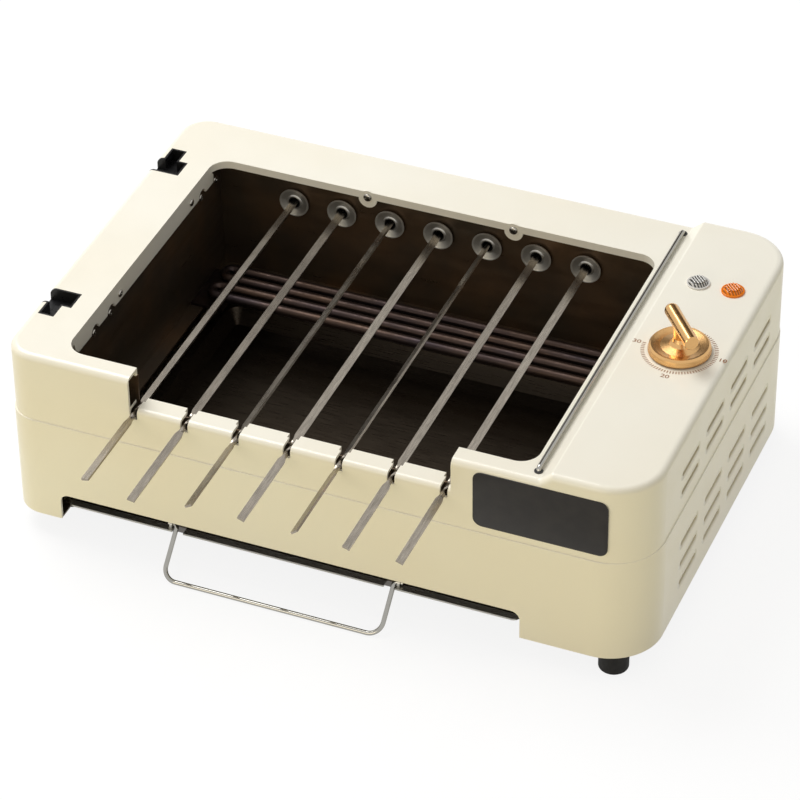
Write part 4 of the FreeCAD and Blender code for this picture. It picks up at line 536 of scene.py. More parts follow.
def enamel_finish(settings):
    """Satin cream enamel, fired: a faint orange peel, a slow change of tone, and painted shade
    in the recesses just behind the right face and in a soft band round each louvre.
    """
    made = Finish("cream_enamel")
    tint = Vector(settings.enamel)
    warm = tuple(tint[index] * share for index, share in enumerate((0.985, 0.965, 0.93)))
    slow = made.cloud(7.0, 2.0)
    toned = made.blended(made.between(slow, 0.0, 1.0, 0.35, 0.65), opaque(tint), opaque(warm))
    _, wall = node_box("upper_shell")
    across, along, up = made.axes()
    # Painted shade: enamel just behind the right face, inside the louvre slots and the seam
    # groove, is darkened toward the shade colour.
    recess_shade_mask = made.math(
        "MULTIPLY",
        made.within(across, wall.x - 0.002, wall.x - 0.00015),
        made.math("MULTIPLY", made.within(along, -0.08, 0.115), made.within(up, 0.0, 0.126)),
    )
    shade = tuple(tint[index] * share for index, share in enumerate((0.6, 0.55, 0.44)))
    away = louvre_distance(made, along, up)
    outside = made.within(across, wall.x - 0.0012, wall.x + 0.002)
    # Painted shade: a soft band round each louvre on the right face is darkened a little; the
    # same band also gives each louvre its bump.
    near = made.math("MULTIPLY", made.between(away, 1.0, 0.0, 0.0016, 0.0046), outside)
    painted_recess_shade = made.math("MAXIMUM", made.math("MULTIPLY", recess_shade_mask, 0.62),
                      made.math("MULTIPLY", near, 0.16))
    made.join("Base Color", made.blended(painted_recess_shade, toned, opaque(shade)))
    gloss = made.cloud(60.0, 3.0)
    made.join("Roughness", made.between(
        gloss, settings.enamel_rough - 0.04, settings.enamel_rough + 0.04))
    peel = add(made.tree, "ShaderNodeBump", {
        "Height": made.cloud(420.0, 2.0), "Distance": 0.00006, "Strength": 0.5})
    pocket = add(made.tree, "ShaderNodeBump", {
        "Height": made.math("SUBTRACT", 1.0, near),
        "Distance": 0.0016,
        "Normal": peel.outputs["Normal"],
    })
    made.join("Normal", pocket.outputs["Normal"])
    made.set(Coat_Weight=0.25, Coat_Roughness=0.12, IOR=1.5)
    return made.material


def liner_finish(settings):
    """Dark non-stick coating with a dull metallic sheen and cleaning streaks."""
    made = Finish("dark_liner")
    tint = Vector(settings.liner)
    streaks = made.cloud(34.0, 5.0, 0.6, made.stretched((1.0, 0.35, 5.0)))
    patches = made.cloud(22.0, 3.0)
    brown = tuple(value * share for value, share in zip(tint, (1.9, 1.5, 1.15)))
    made.join("Base Color", made.blended(
        made.between(patches, 0.0, 1.0, 0.4, 0.75), opaque(tint), opaque(brown)))
    made.join("Roughness", made.between(streaks, 0.27, 0.44))
    made.relief(made.cloud(900.0, 2.0), 0.00005, 0.4)
    made.set(Metallic=0.75)
    return made.material


def sheath_finish(settings):
    """Oxidised tube sheath, blued and browned by heat in bands."""
    made = Finish("tube_sheath")
    tint = Vector(settings.sheath)
    blue = (tint[0] * 0.45, tint[1] * 0.55, tint[2] * 0.9)
    bands = made.cloud(26.0, 4.0, 0.6, made.stretched((0.5, 3.0, 3.0)))
    made.join("Base Color", made.blended(
        made.between(bands, 0.0, 1.0), opaque(tint), opaque(blue)))
    made.join("Roughness", made.between(made.cloud(300.0, 3.0), 0.3, 0.5))
    made.relief(made.cloud(1600.0, 2.0), 0.00004, 0.6)
    made.set(Metallic=0.9)
    return made.material


def brushed_finish(name, tint, along, rough=(0.2, 0.36), depth=0.00003, dull=0.8):
    """Steel brushed along one direction; grooves cross the other two."""
    made = Finish(name)
    scale = tuple(0.03 if axis == along else 1.0 for axis in "XYZ")
    lines = made.cloud(2600.0, 3.0, 0.7, made.stretched(scale))
    dark = tuple(value * dull for value in tint)
    made.join("Base Color", made.blended(
        made.between(lines, 0.0, 1.0), opaque(tint), opaque(dark)))
    patches = made.cloud(45.0, 3.0)
    made.join("Roughness", made.between(
        made.math("MULTIPLY", made.math("ADD", lines, patches), 0.5), *rough))
    made.relief(lines, depth, 0.7)
    made.set(Metallic=1.0)
    return made.material


def polished_finish(name, tint, rough, ripple=0.00002, spread=0.4):
    """Plated and polished metal with the faint ripple of a buffed part."""
    made = Finish(name)
    cloud = made.cloud(130.0, 3.0)
    dark = tuple(value * (1.0 - spread / 6) for value in tint)
    made.join("Base Color", made.blended(
        made.between(cloud, 0.0, 1.0), opaque(tint), opaque(dark)))
    made.join("Roughness", made.between(
        made.cloud(700.0, 2.0), rough * (1.0 - spread / 2), rough * (1.0 + spread)))
    made.relief(made.cloud(240.0, 1.0), ripple, 0.5)
    made.set(Metallic=1.0)
    return made.material


def moulded_finish(name, tint, rough, grain, depth):
    """Moulded plastic or rubber with its mould grain."""
    made = Finish(name)
    cloud = made.cloud(50.0, 3.0)
    pale = tuple(value * 1.35 + 0.002 for value in tint)
    made.join("Base Color", made.blended(
        made.between(cloud, 0.0, 1.0), opaque(tint), opaque(pale)))
    made.join("Roughness", made.between(made.cloud(260.0, 2.0), rough - 0.05, rough + 0.08))
    made.relief(made.cloud(grain, 3.0), depth, 0.6)
    made.set(Specular_IOR_Level=0.3)
    return made.material


def lamp_finish(name, lens, tint, depth, glow):
    """Tinted lamp plastic, with painted shade darkening the grooves between its prisms."""
    made = Finish(name)
    low, high = node_box(lens)
    middle = (low + high) / 2
    across, along, _ = made.axes()
    slant = made.math("ADD", made.math("SUBTRACT", across, middle.x),
                      made.math("SUBTRACT", along, middle.y))
    # Painted shade: a wave across the prisms darkens the colour in each groove, down to depth
    # times the tint.
    stripes = made.math("COSINE", made.math(
        "MULTIPLY", slant, math.tau / (PRISM_PITCH * math.sqrt(2.0))))
    groove_shade = tuple(value * depth for value in tint)
    made.join("Base Color", made.blended(
        made.between(stripes, 1.0, 0.0, -0.5, 0.5), opaque(tint), opaque(groove_shade)))
    made.join("Roughness", made.between(made.cloud(800.0, 1.0), 0.06, 0.16))
    made.relief(made.cloud(500.0, 1.0), 0.00004, 0.4)
    made.set(IOR=1.49, Specular_IOR_Level=0.3)
    made.set(Emission_Color=opaque(tint), Emission_Strength=glow)
    return made.material


PRISMS = 5
PRISM_DISC = 0.0044
PRISM_PITCH = 2 * PRISM_DISC / PRISMS


class SKEWERGRILL_OT_enamel(bpy.types.Operator):
    """Coats the housing's sheet metal in cream enamel"""

    bl_idname = "skewergrill.enamel"
    bl_label = "Enamel the housing"

    def execute(self, context):
        dress(enamel_finish(context.scene.grill_finishes), "upper_shell", "lower_shell")
        return {"FINISHED"}


class SKEWERGRILL_OT_bay(bpy.types.Operator):
    """Coats the roasting bay, the tubes, the tray and the base"""

    bl_idname = "skewergrill.bay"
    bl_label = "Coat the bay"

    def execute(self, context):
        settings = context.scene.grill_finishes
        liner = liner_finish(settings)
        dress(liner, "bay_liner", "liner_back_wall", "base_plate", "heat_shield")
        dress(tray_finish(settings), "drip_tray")
        dress(
            sheath_finish(settings),
            "heating_tube_front",
            "heating_tube_back",
            "element_brackets",
        )
        return {"FINISHED"}


def tray_finish(settings):
    """Plated tray: a paler band on its rim and front lip, partly the plating's own tone and
    partly painted highlight where the flat rim catches the light; darker over the rest of the
    pan.
    """
    made = Finish("tray_plate")
    rim = opaque((0.42, 0.41, 0.38))
    pan = opaque(tuple(value * 0.55 for value in settings.liner))
    low, high = node_box("drip_tray")
    _, along, height = made.axes()
    # Partly painted highlight: the rim and front lip take the paler plated tone where the flat
    # rim catches the light.
    lip = made.within(along, low.y - 0.001, low.y + 0.0052)
    bright = made.math(
        "MAXIMUM", lip, made.between(height, 0.0, 1.0, high.z - 0.0022, high.z - 0.0012))
    made.join("Base Color", made.blended(bright, pan, rim))
    lines = made.cloud(1400.0, 3.0, 0.6, made.stretched((0.04, 1.0, 1.0)))
    made.join("Roughness", made.between(lines, 0.24, 0.4))
    made.relief(lines, 0.00003, 0.5)
    made.set(Metallic=0.85)
    return made.material


def socket_finish(settings):
    """Spun steel of the skewer sockets: its own tone on the lip, painted shade on the dish and
    near-black painted shade in the mouth.
    """
    made = Finish("socket_steel")
    first_low, first_high = node_box("drive_socket_1")
    last_low, last_high = node_box("drive_socket_%d" % SKEWERS)
    middle = (first_low + first_high) / 2
    reach = (first_high.x - first_low.x) / 2
    pitch = ((last_low + last_high) / 2 - middle).x / (SKEWERS - 1)
    across, _, up = made.axes()
    shifted = made.math("SUBTRACT", across, middle.x - pitch / 2)
    sideways = made.math("SUBTRACT", made.math("FLOORED_MODULO", shifted, pitch), pitch / 2)
    rise = made.math("SUBTRACT", up, middle.z)
    radius = made.math("SQRT", made.math(
        "ADD", made.math("POWER", sideways, 2.0), made.math("POWER", rise, 2.0)))
    bright = tuple(settings.plated)
    # Painted shade: the dish is darkened to four fifths of the steel's tone and the mouth nearly
    # to black.
    painted_dish_shade = tuple(value * 0.8 for value in bright)
    dark = tuple(value * 0.05 for value in bright)
    dish = made.blended(
        made.between(radius, 0.0, 1.0, reach * 0.36, reach * 0.42), opaque(dark), opaque(painted_dish_shade))
    made.join("Base Color", made.blended(
        made.between(radius, 0.0, 1.0, reach * 0.84, reach * 0.9), dish, opaque(bright)))
    made.join("Roughness", made.between(made.cloud(900.0, 2.0), 0.34, 0.5))
    rings = made.math("SINE", made.math("MULTIPLY", radius, 26000.0))
    made.relief(rings, 0.00001, 0.4)
    made.set(Metallic=0.85)
    return made.material


class SKEWERGRILL_OT_metalwork(bpy.types.Operator):
    """Finishes the skewers, their drive, the rod and the bail"""

    bl_idname = "skewergrill.metalwork"
    bl_label = "Finish the metalwork"

    def execute(self, context):
        settings = context.scene.grill_finishes
        steel = brushed_finish("skewer_steel", tuple(settings.skewer), "Y", dull=0.42)
        dress(steel, *numbered("skewer", SKEWERS))
        dress(socket_finish(settings), *numbered("drive_socket", SKEWERS))
        plated = brushed_finish("plated_steel", tuple(settings.plated), "X")
        dress(plated, "gear_plate", "gear_motor", "tray_rails", "thermostat")
        chrome = polished_finish("chrome_wire", tuple(settings.chrome), 0.05)
        dress(chrome, "tray_handle", "rest_wire")
        nylon = moulded_finish("gear_nylon", tuple(settings.nylon), 0.42, 900.0, 0.00004)
        dress(nylon, *numbered("spindle_gear", SKEWERS))
        dress(nylon, *numbered("idler_gear", IDLERS))
        dress(nylon, "motor_pinion")
        return {"FINISHED"}


class SKEWERGRILL_OT_controls(bpy.types.Operator):
    """Finishes the knob, the lamps, the lid sockets, the inlet and the feet"""

    bl_idname = "skewergrill.controls"
    bl_label = "Finish the controls"

    def execute(self, context):
        settings = context.scene.grill_finishes
        gold = polished_finish("knob_gold", tuple(settings.gold), 0.25, 0.000001, 0.06)
        dress(gold, "timer_knob")
        bright = polished_finish("lever_gold", tuple(settings.gold), 0.17, 0.000001, 0.06)
        dress(bright, "knob_lever")
        black = moulded_finish(
            "black_plastic", tuple(settings.plastic), 0.3, 1500.0, 0.00003)
        dress(black, "lid_socket_front", "lid_socket_back", "power_inlet")
        dress(black, "terminal_block", "timer_body")
        rubber = moulded_finish(
            "foot_rubber", tuple(settings.rubber), 0.7, 2200.0, 0.00008)
        dress(rubber, "rubber_feet")
        steel = bpy.data.materials["plated_steel"]
        dress(steel, "timer_shaft")
        # The fourth number is the share of tint left by the painted groove shade.
        clear = lamp_finish(
            "clear_lamp", "lamp_lens_clear", tuple(settings.clear_lamp), 0.08, 0.0)
        orange = lamp_finish(
            "orange_lamp", "lamp_lens_orange", tuple(settings.orange_lamp), 0.3, 0.12)
        dress(clear, "lamp_lens_clear")
        dress(orange, "lamp_lens_orange")
        dress(lamp_collar_finish(settings), "lamp_bezels")
        return {"FINISHED"}


def lamp_collar_finish(settings):
    """Collars moulded with their lamps: the left one clear, the right one orange."""
    made = Finish("lamp_collars")
    clear_low, clear_high = node_box("lamp_lens_clear")
    orange_low, orange_high = node_box("lamp_lens_orange")
    middle = (clear_high.x + orange_low.x) / 2
    side, _, _ = made.axes()
    orange = made.between(side, 0.0, 1.0, middle - 0.0005, middle + 0.0005)
    pale = opaque((0.72, 0.7, 0.66))
    warm = opaque(tuple(settings.orange_lamp))
    made.join("Base Color", made.blended(orange, pale, warm))
    made.join("Roughness", made.between(made.cloud(900.0, 2.0), 0.1, 0.2))
    made.set(IOR=1.49, Specular_IOR_Level=0.35)
    return made.material


# Fasteners

SCREW_PLACES = (
    # (x, y, z) in millimetres, facing direction, turn of the cross, size setting
    ((-177.9, 59.2, 131.8), (1, 0, 0), 20, "bay_head"),
    ((-177.9, -50.4, 131.3), (1, 0, 0), 65, "bay_head"),
    ((-179.5, 76.5, 124.4), (1, 0, 0), 12, "bay_head"),
    ((-179.5, 99.8, 124.4), (1, 0, 0), 50, "bay_head"),
    ((-179.5, -63.7, 124.4), (1, 0, 0), 33, "bay_head"),
    ((-179.5, -87.0, 124.4), (1, 0, 0), 78, "bay_head"),
    ((-68.1, 101.1, 137.0), (0, -1, 0), 40, "tab_head"),
    ((35.6, 101.1, 137.0), (0, -1, 0), 8, "tab_head"),
)
BACK_SCREWS_X = (-150.0, -50.0, 50.0)
BACK_SCREW_Z = (38.0, 74.0)


def screw_head(name, settings):
    """A pan head with a cross recess, one unit in radius, standing on z 0."""
    tall = 0.52
    work = turned(
        (
            (0.0, 0.0),
            (1.0, 0.0),
            (1.0, tall * 0.34),
            (0.94, tall * 0.62),
            (0.78, tall * 0.86),
            (0.5, tall * 0.97),
            (0.0, tall),
        ),
        24,
    )
    mesh = mesh_from(name, work)
    head = bpy.data.objects.new(name, mesh)
    bpy.context.scene.collection.objects.link(head)
    cutter_mesh = mesh_from(name + "_cross", cross_bit(), False)
    cutter = bpy.data.objects.new(name + "_cross", cutter_mesh)
    bpy.context.scene.collection.objects.link(cutter)
    cut = head.modifiers.new("cross", "BOOLEAN")
    cut.object = cutter
    cut.solver = "EXACT"
    graph = bpy.context.evaluated_depsgraph_get()
    result = bpy.data.meshes.new_from_object(head.evaluated_get(graph))
    bpy.data.objects.remove(head)
    bpy.data.objects.remove(cutter)
    sharpen(result, 30.0)
    finished = bpy.data.objects.new(name, result)
    bpy.context.scene.collection.objects.link(finished)
    return finished


def cross_bit():
    """The tapered cross of a screwdriver bit, point down, above z 0.16."""
    work = bmesh.new()
    arms = 4
    wide, thin, waist = 0.62, 0.13, 0.16
    outline = []
    for arm in range(arms):
        turn = Matrix.Rotation(math.tau * arm / arms, 3, "Z")
        outline.append(turn @ Vector((wide, -thin, 0.0)))
        outline.append(turn @ Vector((wide, thin, 0.0)))
        outline.append(turn @ Vector((waist, waist, 0.0)))
    top = [work.verts.new((p.x, p.y, 0.9)) for p in outline]
    low = [work.verts.new((p.x * 0.45, p.y * 0.45, 0.14)) for p in outline]
    count = len(outline)
    for index in range(count):
        after = (index + 1) % count
        work.faces.new((low[index], low[after], top[after], top[index]))
    work.faces.new(top)
    work.faces.new(list(reversed(low)))
    return work


def screw_points(name, places):
    """One point for each screw, with the way it faces, its turn and its size."""
    mesh = bpy.data.meshes.new(name)
    mesh.from_pydata([place for place, _, _, _ in places], [], [])
    for label, kind in (("facing", "FLOAT_VECTOR"), ("turn", "FLOAT"), ("size", "FLOAT")):
        mesh.attributes.new(label, kind, "POINT")
    for index, (_, way, degrees, radius) in enumerate(places):
        mesh.attributes["facing"].data[index].vector = way
        mesh.attributes["turn"].data[index].value = math.radians(degrees)
        mesh.attributes["size"].data[index].value = radius
    return mesh


def screw_tree():
    """Stands a head on every point, turned to face the way the point says."""
    tree, given = fresh_tree(
        "screws",
        (
            ("Head", "NodeSocketObject"),
            ("Finish", "NodeSocketMaterial"),
        ),
    )
    head = add(tree, "GeometryNodeObjectInfo", {"Object": given["Head"]})

    def stored(label, kind):
        return add(
            tree, "GeometryNodeInputNamedAttribute", {"Name": label}, data_type=kind
        ).outputs["Attribute"]

    faced = add(
        tree,
        "FunctionNodeAlignRotationToVector",
        {"Vector": stored("facing", "FLOAT_VECTOR")},
        axis="Z",
    )
    spin = add(
        tree,
        "FunctionNodeAxisAngleToRotation",
        {"Axis": (0.0, 0.0, 1.0), "Angle": stored("turn", "FLOAT")},
    )
    both = add(
        tree,
        "FunctionNodeRotateRotation",
        {"Rotation": faced.outputs["Rotation"], "Rotate By": spin.outputs["Rotation"]},
        rotation_space="LOCAL",
    )
    placed = add(
        tree,
        "GeometryNodeInstanceOnPoints",
        {
            "Points": given["Geometry"],
            "Instance": head.outputs["Geometry"],
            "Rotation": both.outputs["Rotation"],
        },
    )
    size = stored("size", "FLOAT")
    even = add(tree, "ShaderNodeCombineXYZ", {"X": size, "Y": size, "Z": size})
    tree.links.new(even.outputs["Vector"], placed.inputs["Scale"])
    close_tree(tree, placed.outputs["Instances"], given["Finish"])
    return tree


class SKEWERGRILL_OT_screws(bpy.types.Operator):
    """Drives the screws of the bay, the back and the base"""

    bl_idname = "skewergrill.screws"
    bl_label = "Drive the screws"

    def execute(self, context):
        settings = context.scene.grill_fasteners
        head = screw_head("screw_head", settings)
        tree = screw_tree()
        bright = polished_finish("screw_steel", paint(164, 160, 152), 0.2)
        bay = [
            (Vector(place) * MM, way, turn, getattr(settings, size))
            for place, way, turn, size in SCREW_PLACES
        ]
        shell_low, shell_high = node_box("lower_shell")
        back = [
            (
                Vector((x * MM, shell_high.y - 0.0001, z * MM)),
                (0, 1, 0),
                x + z,
                settings.tab_head,
            )
            for x in BACK_SCREWS_X
            for z in BACK_SCREW_Z
        ]
        base_low, base_high = node_box("base_plate")
        inset = 0.013
        base = [
            (Vector((x, y, base_low.z + 0.0001)), (0, 0, -1), x * 1000, settings.base_head)
            for x in (base_low.x + inset, base_high.x - inset)
            for y in (-0.06, 0.06)
        ]
        for name, places in (("bay_screws", bay), ("back_screws", back), ("base_screws", base)):
            source = screw_points(name + "_points", places)
            grown(name, source, tree, {"Head": head, "Finish": bright}, "housing")
        bpy.data.objects.remove(head)
        return {"FINISHED"}


# Dial


def dial_centre():
    """Middle of the timer knob on the control panel."""
    low, high = node_box("timer_knob")
    _, panel = node_box("upper_shell")
    return Vector(((low.x + high.x) / 2, (low.y + high.y) / 2, panel.z))


def mark_ring_tree():
    """Sets marks side by side on an arc about a centre."""
    tree, given = fresh_tree(
        "mark_ring",
        (
            ("Mark", "NodeSocketObject"),
            ("Count", "NodeSocketInt"),
            ("Radius", "NodeSocketFloat"),
            ("First angle", "NodeSocketFloat"),
            ("Step angle", "NodeSocketFloat"),
            ("Centre", "NodeSocketVector"),
            ("Finish", "NodeSocketMaterial"),
        ),
    )
    mark = add(tree, "GeometryNodeObjectInfo", {"Object": given["Mark"]})
    points = add(tree, "GeometryNodePoints", {"Count": given["Count"]})
    index = add(tree, "GeometryNodeInputIndex").outputs["Index"]
    angle = sum_of(
        tree,
        "ADD",
        given["First angle"],
        sum_of(tree, "MULTIPLY", index, given["Step angle"]),
    )
    across = sum_of(tree, "MULTIPLY", sum_of(tree, "COSINE", angle), given["Radius"])
    along = sum_of(tree, "MULTIPLY", sum_of(tree, "SINE", angle), given["Radius"])
    flat = add(tree, "ShaderNodeCombineXYZ", {"X": across, "Y": along})
    where = add(tree, "ShaderNodeVectorMath", operation="ADD")
    tree.links.new(flat.outputs["Vector"], where.inputs[0])
    tree.links.new(given["Centre"], where.inputs[1])
    moved = add(
        tree,
        "GeometryNodeSetPosition",
        {"Geometry": points.outputs[0], "Position": where.outputs["Vector"]},
    )
    turn = add(tree, "ShaderNodeCombineXYZ", {"Z": angle})
    rotation = add(
        tree, "FunctionNodeEulerToRotation", {"Euler": turn.outputs["Vector"]}
    )
    placed = add(
        tree,
        "GeometryNodeInstanceOnPoints",
        {
            "Points": moved.outputs["Geometry"],
            "Instance": mark.outputs["Geometry"],
            "Rotation": rotation.outputs["Rotation"],
        },
    )
    close_tree(tree, placed.outputs["Instances"], given["Finish"])
    return tree


def empty_mesh(name):
    """A mesh with nothing in it, for trees that make all they need."""
    return bpy.data.meshes.new(name)


def ink_finish(tint):
    """Screen-printed ink, slightly uneven in cover."""
    made = Finish("dial_ink")
    thin = tuple(min(value * 1.5 + 0.03, 1.0) for value in tint)
    made.join("Base Color", made.blended(
        made.between(made.cloud(900.0, 2.0), 0.0, 1.0, 0.45, 0.8),
        opaque(tint), opaque(thin)))
    made.join("Roughness", made.between(made.cloud(1500.0, 2.0), 0.4, 0.6))
    made.relief(made.cloud(4000.0, 2.0), 0.00001, 0.5)
    return made.material


def helper_object(name, mesh):
    """An object that only lends its mesh to a tree."""
    made = bpy.data.objects.new(name, mesh)
    bpy.context.scene.collection.objects.link(made)
    return made


INK_THICKNESS = 0.00006


def flat_figure(text, height, centre, turn=0.0):
    """A printed number, made a mesh before it is placed."""
    words = bpy.data.curves.new("figure_" + text, "FONT")
    words.body = text
    words.size = height / 0.69
    words.align_x = "CENTER"
    words.align_y = "CENTER"
    words.extrude = INK_THICKNESS / 2
    words.resolution_u = 6
    words.offset = height * 0.012
    carrier = bpy.data.objects.new("figure_" + text, words)
    bpy.context.scene.collection.objects.link(carrier)
    graph = bpy.context.evaluated_depsgraph_get()
    mesh = bpy.data.meshes.new_from_object(carrier.evaluated_get(graph))
    bpy.data.objects.remove(carrier)
    mesh.transform(
        Matrix.Translation(centre + UP * INK_THICKNESS / 2)
        @ Matrix.Rotation(turn, 4, "Z")
        @ Matrix.Diagonal((1.22, 1.0, 1.0, 1.0))
    )
    return mesh


class SKEWERGRILL_OT_dial(bpy.types.Operator):
    """Prints the timer's ticks and numbers on the panel"""

    bl_idname = "skewergrill.dial"
    bl_label = "Print the dial"

    def execute(self, context):
        settings = context.scene.grill_dial
        centre = dial_centre()
        ink = ink_finish(tuple(settings.ink))
        tick_mesh = mesh_from(
            "tick",
            plate_solid(
                settings.tick_length,
                settings.tick_width,
                settings.tick_width * 0.3,
                INK_THICKNESS,
                INK_THICKNESS * 0.3,
            ),
            False,
        )
        tick = helper_object("tick", tick_mesh)
        ticks = settings.minutes * 2
        tree = mark_ring_tree()
        grown(
            "dial_ticks",
            empty_mesh("dial_ticks_source"),
            tree,
            {
                "Mark": tick,
                "Count": ticks + 1,
                "Radius": settings.tick_inner + settings.tick_length / 2,
                "First angle": math.radians(90.0),
                "Step angle": -math.radians(270.0 / ticks),
                "Centre": centre,
                "Finish": ink,
            },
            "housing",
        )
        bpy.data.objects.remove(tick)
        third = settings.minutes // 3
        for step in range(1, 4):
            angle = math.radians(90.0 - 90.0 * step)
            reach = settings.figure_radius
            spot = centre + Vector((math.cos(angle), math.sin(angle), 0.0)) * reach
            number = str(third * step)
            mesh = flat_figure(number, settings.figure_height, spot)
            piece("dial_number_" + number, mesh, ink, "housing")
        return {"FINISHED"}


class SKEWERGRILL_OT_knurl(bpy.types.Operator):
    """Cuts the fine ribs round the foot of the knob"""

    bl_idname = "skewergrill.knurl"
    bl_label = "Rib the knob"

    def execute(self, context):
        settings = context.scene.grill_dial
        low, high = node_box("timer_knob")
        reach = (high.x - low.x) / 2
        pitch = math.tau * reach / settings.ribs
        height = 0.0021
        work = turned(
            (
                (0.0, 0.0),
                (pitch * 0.3, 0.0),
                (pitch * 0.3, height * 0.86),
                (pitch * 0.16, height),
                (0.0, height),
            ),
            8,
        )
        rib = helper_object("rib", mesh_from("rib", work))
        gold = bpy.data.materials["knob_gold"]
        centre = Vector(((low.x + high.x) / 2, (low.y + high.y) / 2, low.z + 0.0001))
        grown(
            "knob_ribs",
            empty_mesh("knob_ribs_source"),
            mark_ring_tree(),
            {
                "Mark": rib,
                "Count": settings.ribs,
                "Radius": reach - pitch * 0.28,
                "First angle": 0.0,
                "Step angle": math.tau / settings.ribs,
                "Centre": centre,
                "Finish": gold,
            },
            "knob",
        )
        bpy.data.objects.remove(rib)
        return {"FINISHED"}


# Lamps


def prism_tree():
    """Lays parallel bars across a disc, each as long as the disc is there."""
    tree, given = fresh_tree(
        "lamp_prisms",
        (
            ("Count", "NodeSocketInt"),
            ("Disc radius", "NodeSocketFloat"),
            ("Centre", "NodeSocketVector"),
            ("Turn", "NodeSocketFloat"),
            ("Finish", "NodeSocketMaterial"),
        ),
    )
    points = add(tree, "GeometryNodePoints", {"Count": given["Count"]})
    index = add(tree, "GeometryNodeInputIndex").outputs["Index"]
    pitch = sum_of(
        tree, "DIVIDE", sum_of(tree, "MULTIPLY", given["Disc radius"], 2.0), given["Count"]
    )
    middle = sum_of(tree, "MULTIPLY", sum_of(tree, "SUBTRACT", given["Count"], 1.0), 0.5)
    off = sum_of(tree, "MULTIPLY", sum_of(tree, "SUBTRACT", index, middle), pitch)
    moved = add(
        tree,
        "GeometryNodeSetPosition",
        {
            "Geometry": points.outputs[0],
            "Position": add(tree, "ShaderNodeCombineXYZ", {"Y": off}).outputs["Vector"],
        },
    )
    squares = sum_of(
        tree,
        "SUBTRACT",
        sum_of(tree, "POWER", given["Disc radius"], 2.0),
        sum_of(tree, "POWER", off, 2.0),
    )
    half = sum_of(tree, "SQRT", squares)
    bar = add(
        tree,
        "GeometryNodeMeshCylinder",
        {"Vertices": 6, "Radius": 1.0, "Depth": 2.0},
        fill_type="TRIANGLE_FAN",
    )
    lying = add(
        tree,
        "GeometryNodeTransform",
        {"Geometry": bar.outputs["Mesh"], "Rotation": (0.0, math.pi / 2, 0.0)},
    )
    girth = sum_of(tree, "MULTIPLY", pitch, 0.46)
    size = add(tree, "ShaderNodeCombineXYZ", {"X": half, "Y": girth, "Z": girth})
    placed = add(
        tree,
        "GeometryNodeInstanceOnPoints",
        {
            "Points": moved.outputs["Geometry"],
            "Instance": lying.outputs["Geometry"],
            "Scale": size.outputs["Vector"],
        },
    )
    turn = add(tree, "ShaderNodeCombineXYZ", {"Z": given["Turn"]})
    whole = add(
        tree,
        "GeometryNodeTransform",
        {
            "Geometry": placed.outputs["Instances"],
            "Translation": given["Centre"],
            "Rotation": turn.outputs["Vector"],
        },
    )
    close_tree(tree, whole.outputs["Geometry"], given["Finish"])
    return tree


class SKEWERGRILL_OT_lamps(bpy.types.Operator):
    """Lays the light-breaking prisms on both pilot lamps"""

    bl_idname = "skewergrill.lamps"
    bl_label = "Rib the lamps"

    def execute(self, context):
        tree = prism_tree()
        for lens, finish in (
            ("lamp_lens_clear", "clear_lamp"),
            ("lamp_lens_orange", "orange_lamp"),
        ):
            low, high = node_box(lens)
            centre = Vector(
                ((low.x + high.x) / 2, (low.y + high.y) / 2, high.z - 0.00025)
            )
            grown(
                lens + "_prisms",
                empty_mesh(lens + "_source"),
                tree,
                {
                    "Count": PRISMS,
                    "Disc radius": PRISM_DISC,
                    "Centre": centre,
                    "Turn": math.radians(-45.0),
                    "Finish": bpy.data.materials[finish],
                },
                "housing",
            )
        return {"FINISHED"}


# Plates and rings


def plate_finish(name, tint, rough):
    """Printed film with a soft sheen and a faint weave of dust."""
    made = Finish(name)
    pale = tuple(value * 1.5 + 0.004 for value in tint)
    made.join("Base Color", made.blended(
        made.between(made.cloud(90.0, 3.0), 0.0, 1.0, 0.4, 0.8),
        opaque(tint), opaque(pale)))
    made.join("Roughness", made.between(made.cloud(700.0, 2.0), rough - 0.05, rough + 0.05))
    made.relief(made.cloud(1200.0, 2.0), 0.00002, 0.4)
    made.set(Specular_IOR_Level=0.35)
    return made.material


class SKEWERGRILL_OT_plates(bpy.types.Operator):
    """Fixes the bare plate on the front"""

    bl_idname = "skewergrill.plates"
    bl_label = "Fix the bare plate"

    def execute(self, context):
        settings = context.scene.grill_plates
        low, high = node_box("upper_shell")
        finish = plate_finish("front_plate", tuple(settings.black), 0.36)
        work = plate_solid(
            settings.width, settings.height, settings.corner, settings.thickness, 0.0002
        )
        mesh = sharpen(mesh_from("front_plate", work))
        centre = Vector((
            settings.left + settings.width / 2,
            low.y,
            settings.low + settings.height / 2,
        ))
        mesh.transform(Matrix.Translation(centre) @ Matrix.Rotation(math.pi / 2, 4, "X"))
        piece("front_plate", mesh, finish, "housing")
        return {"FINISHED"}


class SKEWERGRILL_OT_rod_ends(bpy.types.Operator):
    """Sets a dark bush in each hole of the rest rod"""

    bl_idname = "skewergrill.rod_ends"
    bl_label = "Bush the rod's holes"

    def execute(self, context):
        low, high = node_box("rest_wire")
        radius = (high.x - low.x) / 2
        across = (high.x + low.x) / 2
        rim = high.z - radius - 0.0022
        black = bpy.data.materials["black_plastic"]
        inner = radius + 0.00005
        profile = (
            (inner, -0.0006),
            (radius + 0.0012, -0.0006),
            (radius + 0.0012, 0.0005),
            (radius + 0.0009, 0.0008),
            (inner + 0.0001, 0.0008),
            (inner, 0.0006),
            (inner, -0.0006),
        )
        for name, along in (
            ("rod_bush_front", low.y + radius),
            ("rod_bush_back", high.y - radius),
        ):
            work = turned(profile, 28)
            bmesh.ops.remove_doubles(work, verts=work.verts, dist=1e-6)
            mesh = sharpen(mesh_from(name, work))
            mesh.transform(Matrix.Translation(Vector((across, along, rim))))
            piece(name, mesh, black, "housing")
        return {"FINISHED"}


# Stage


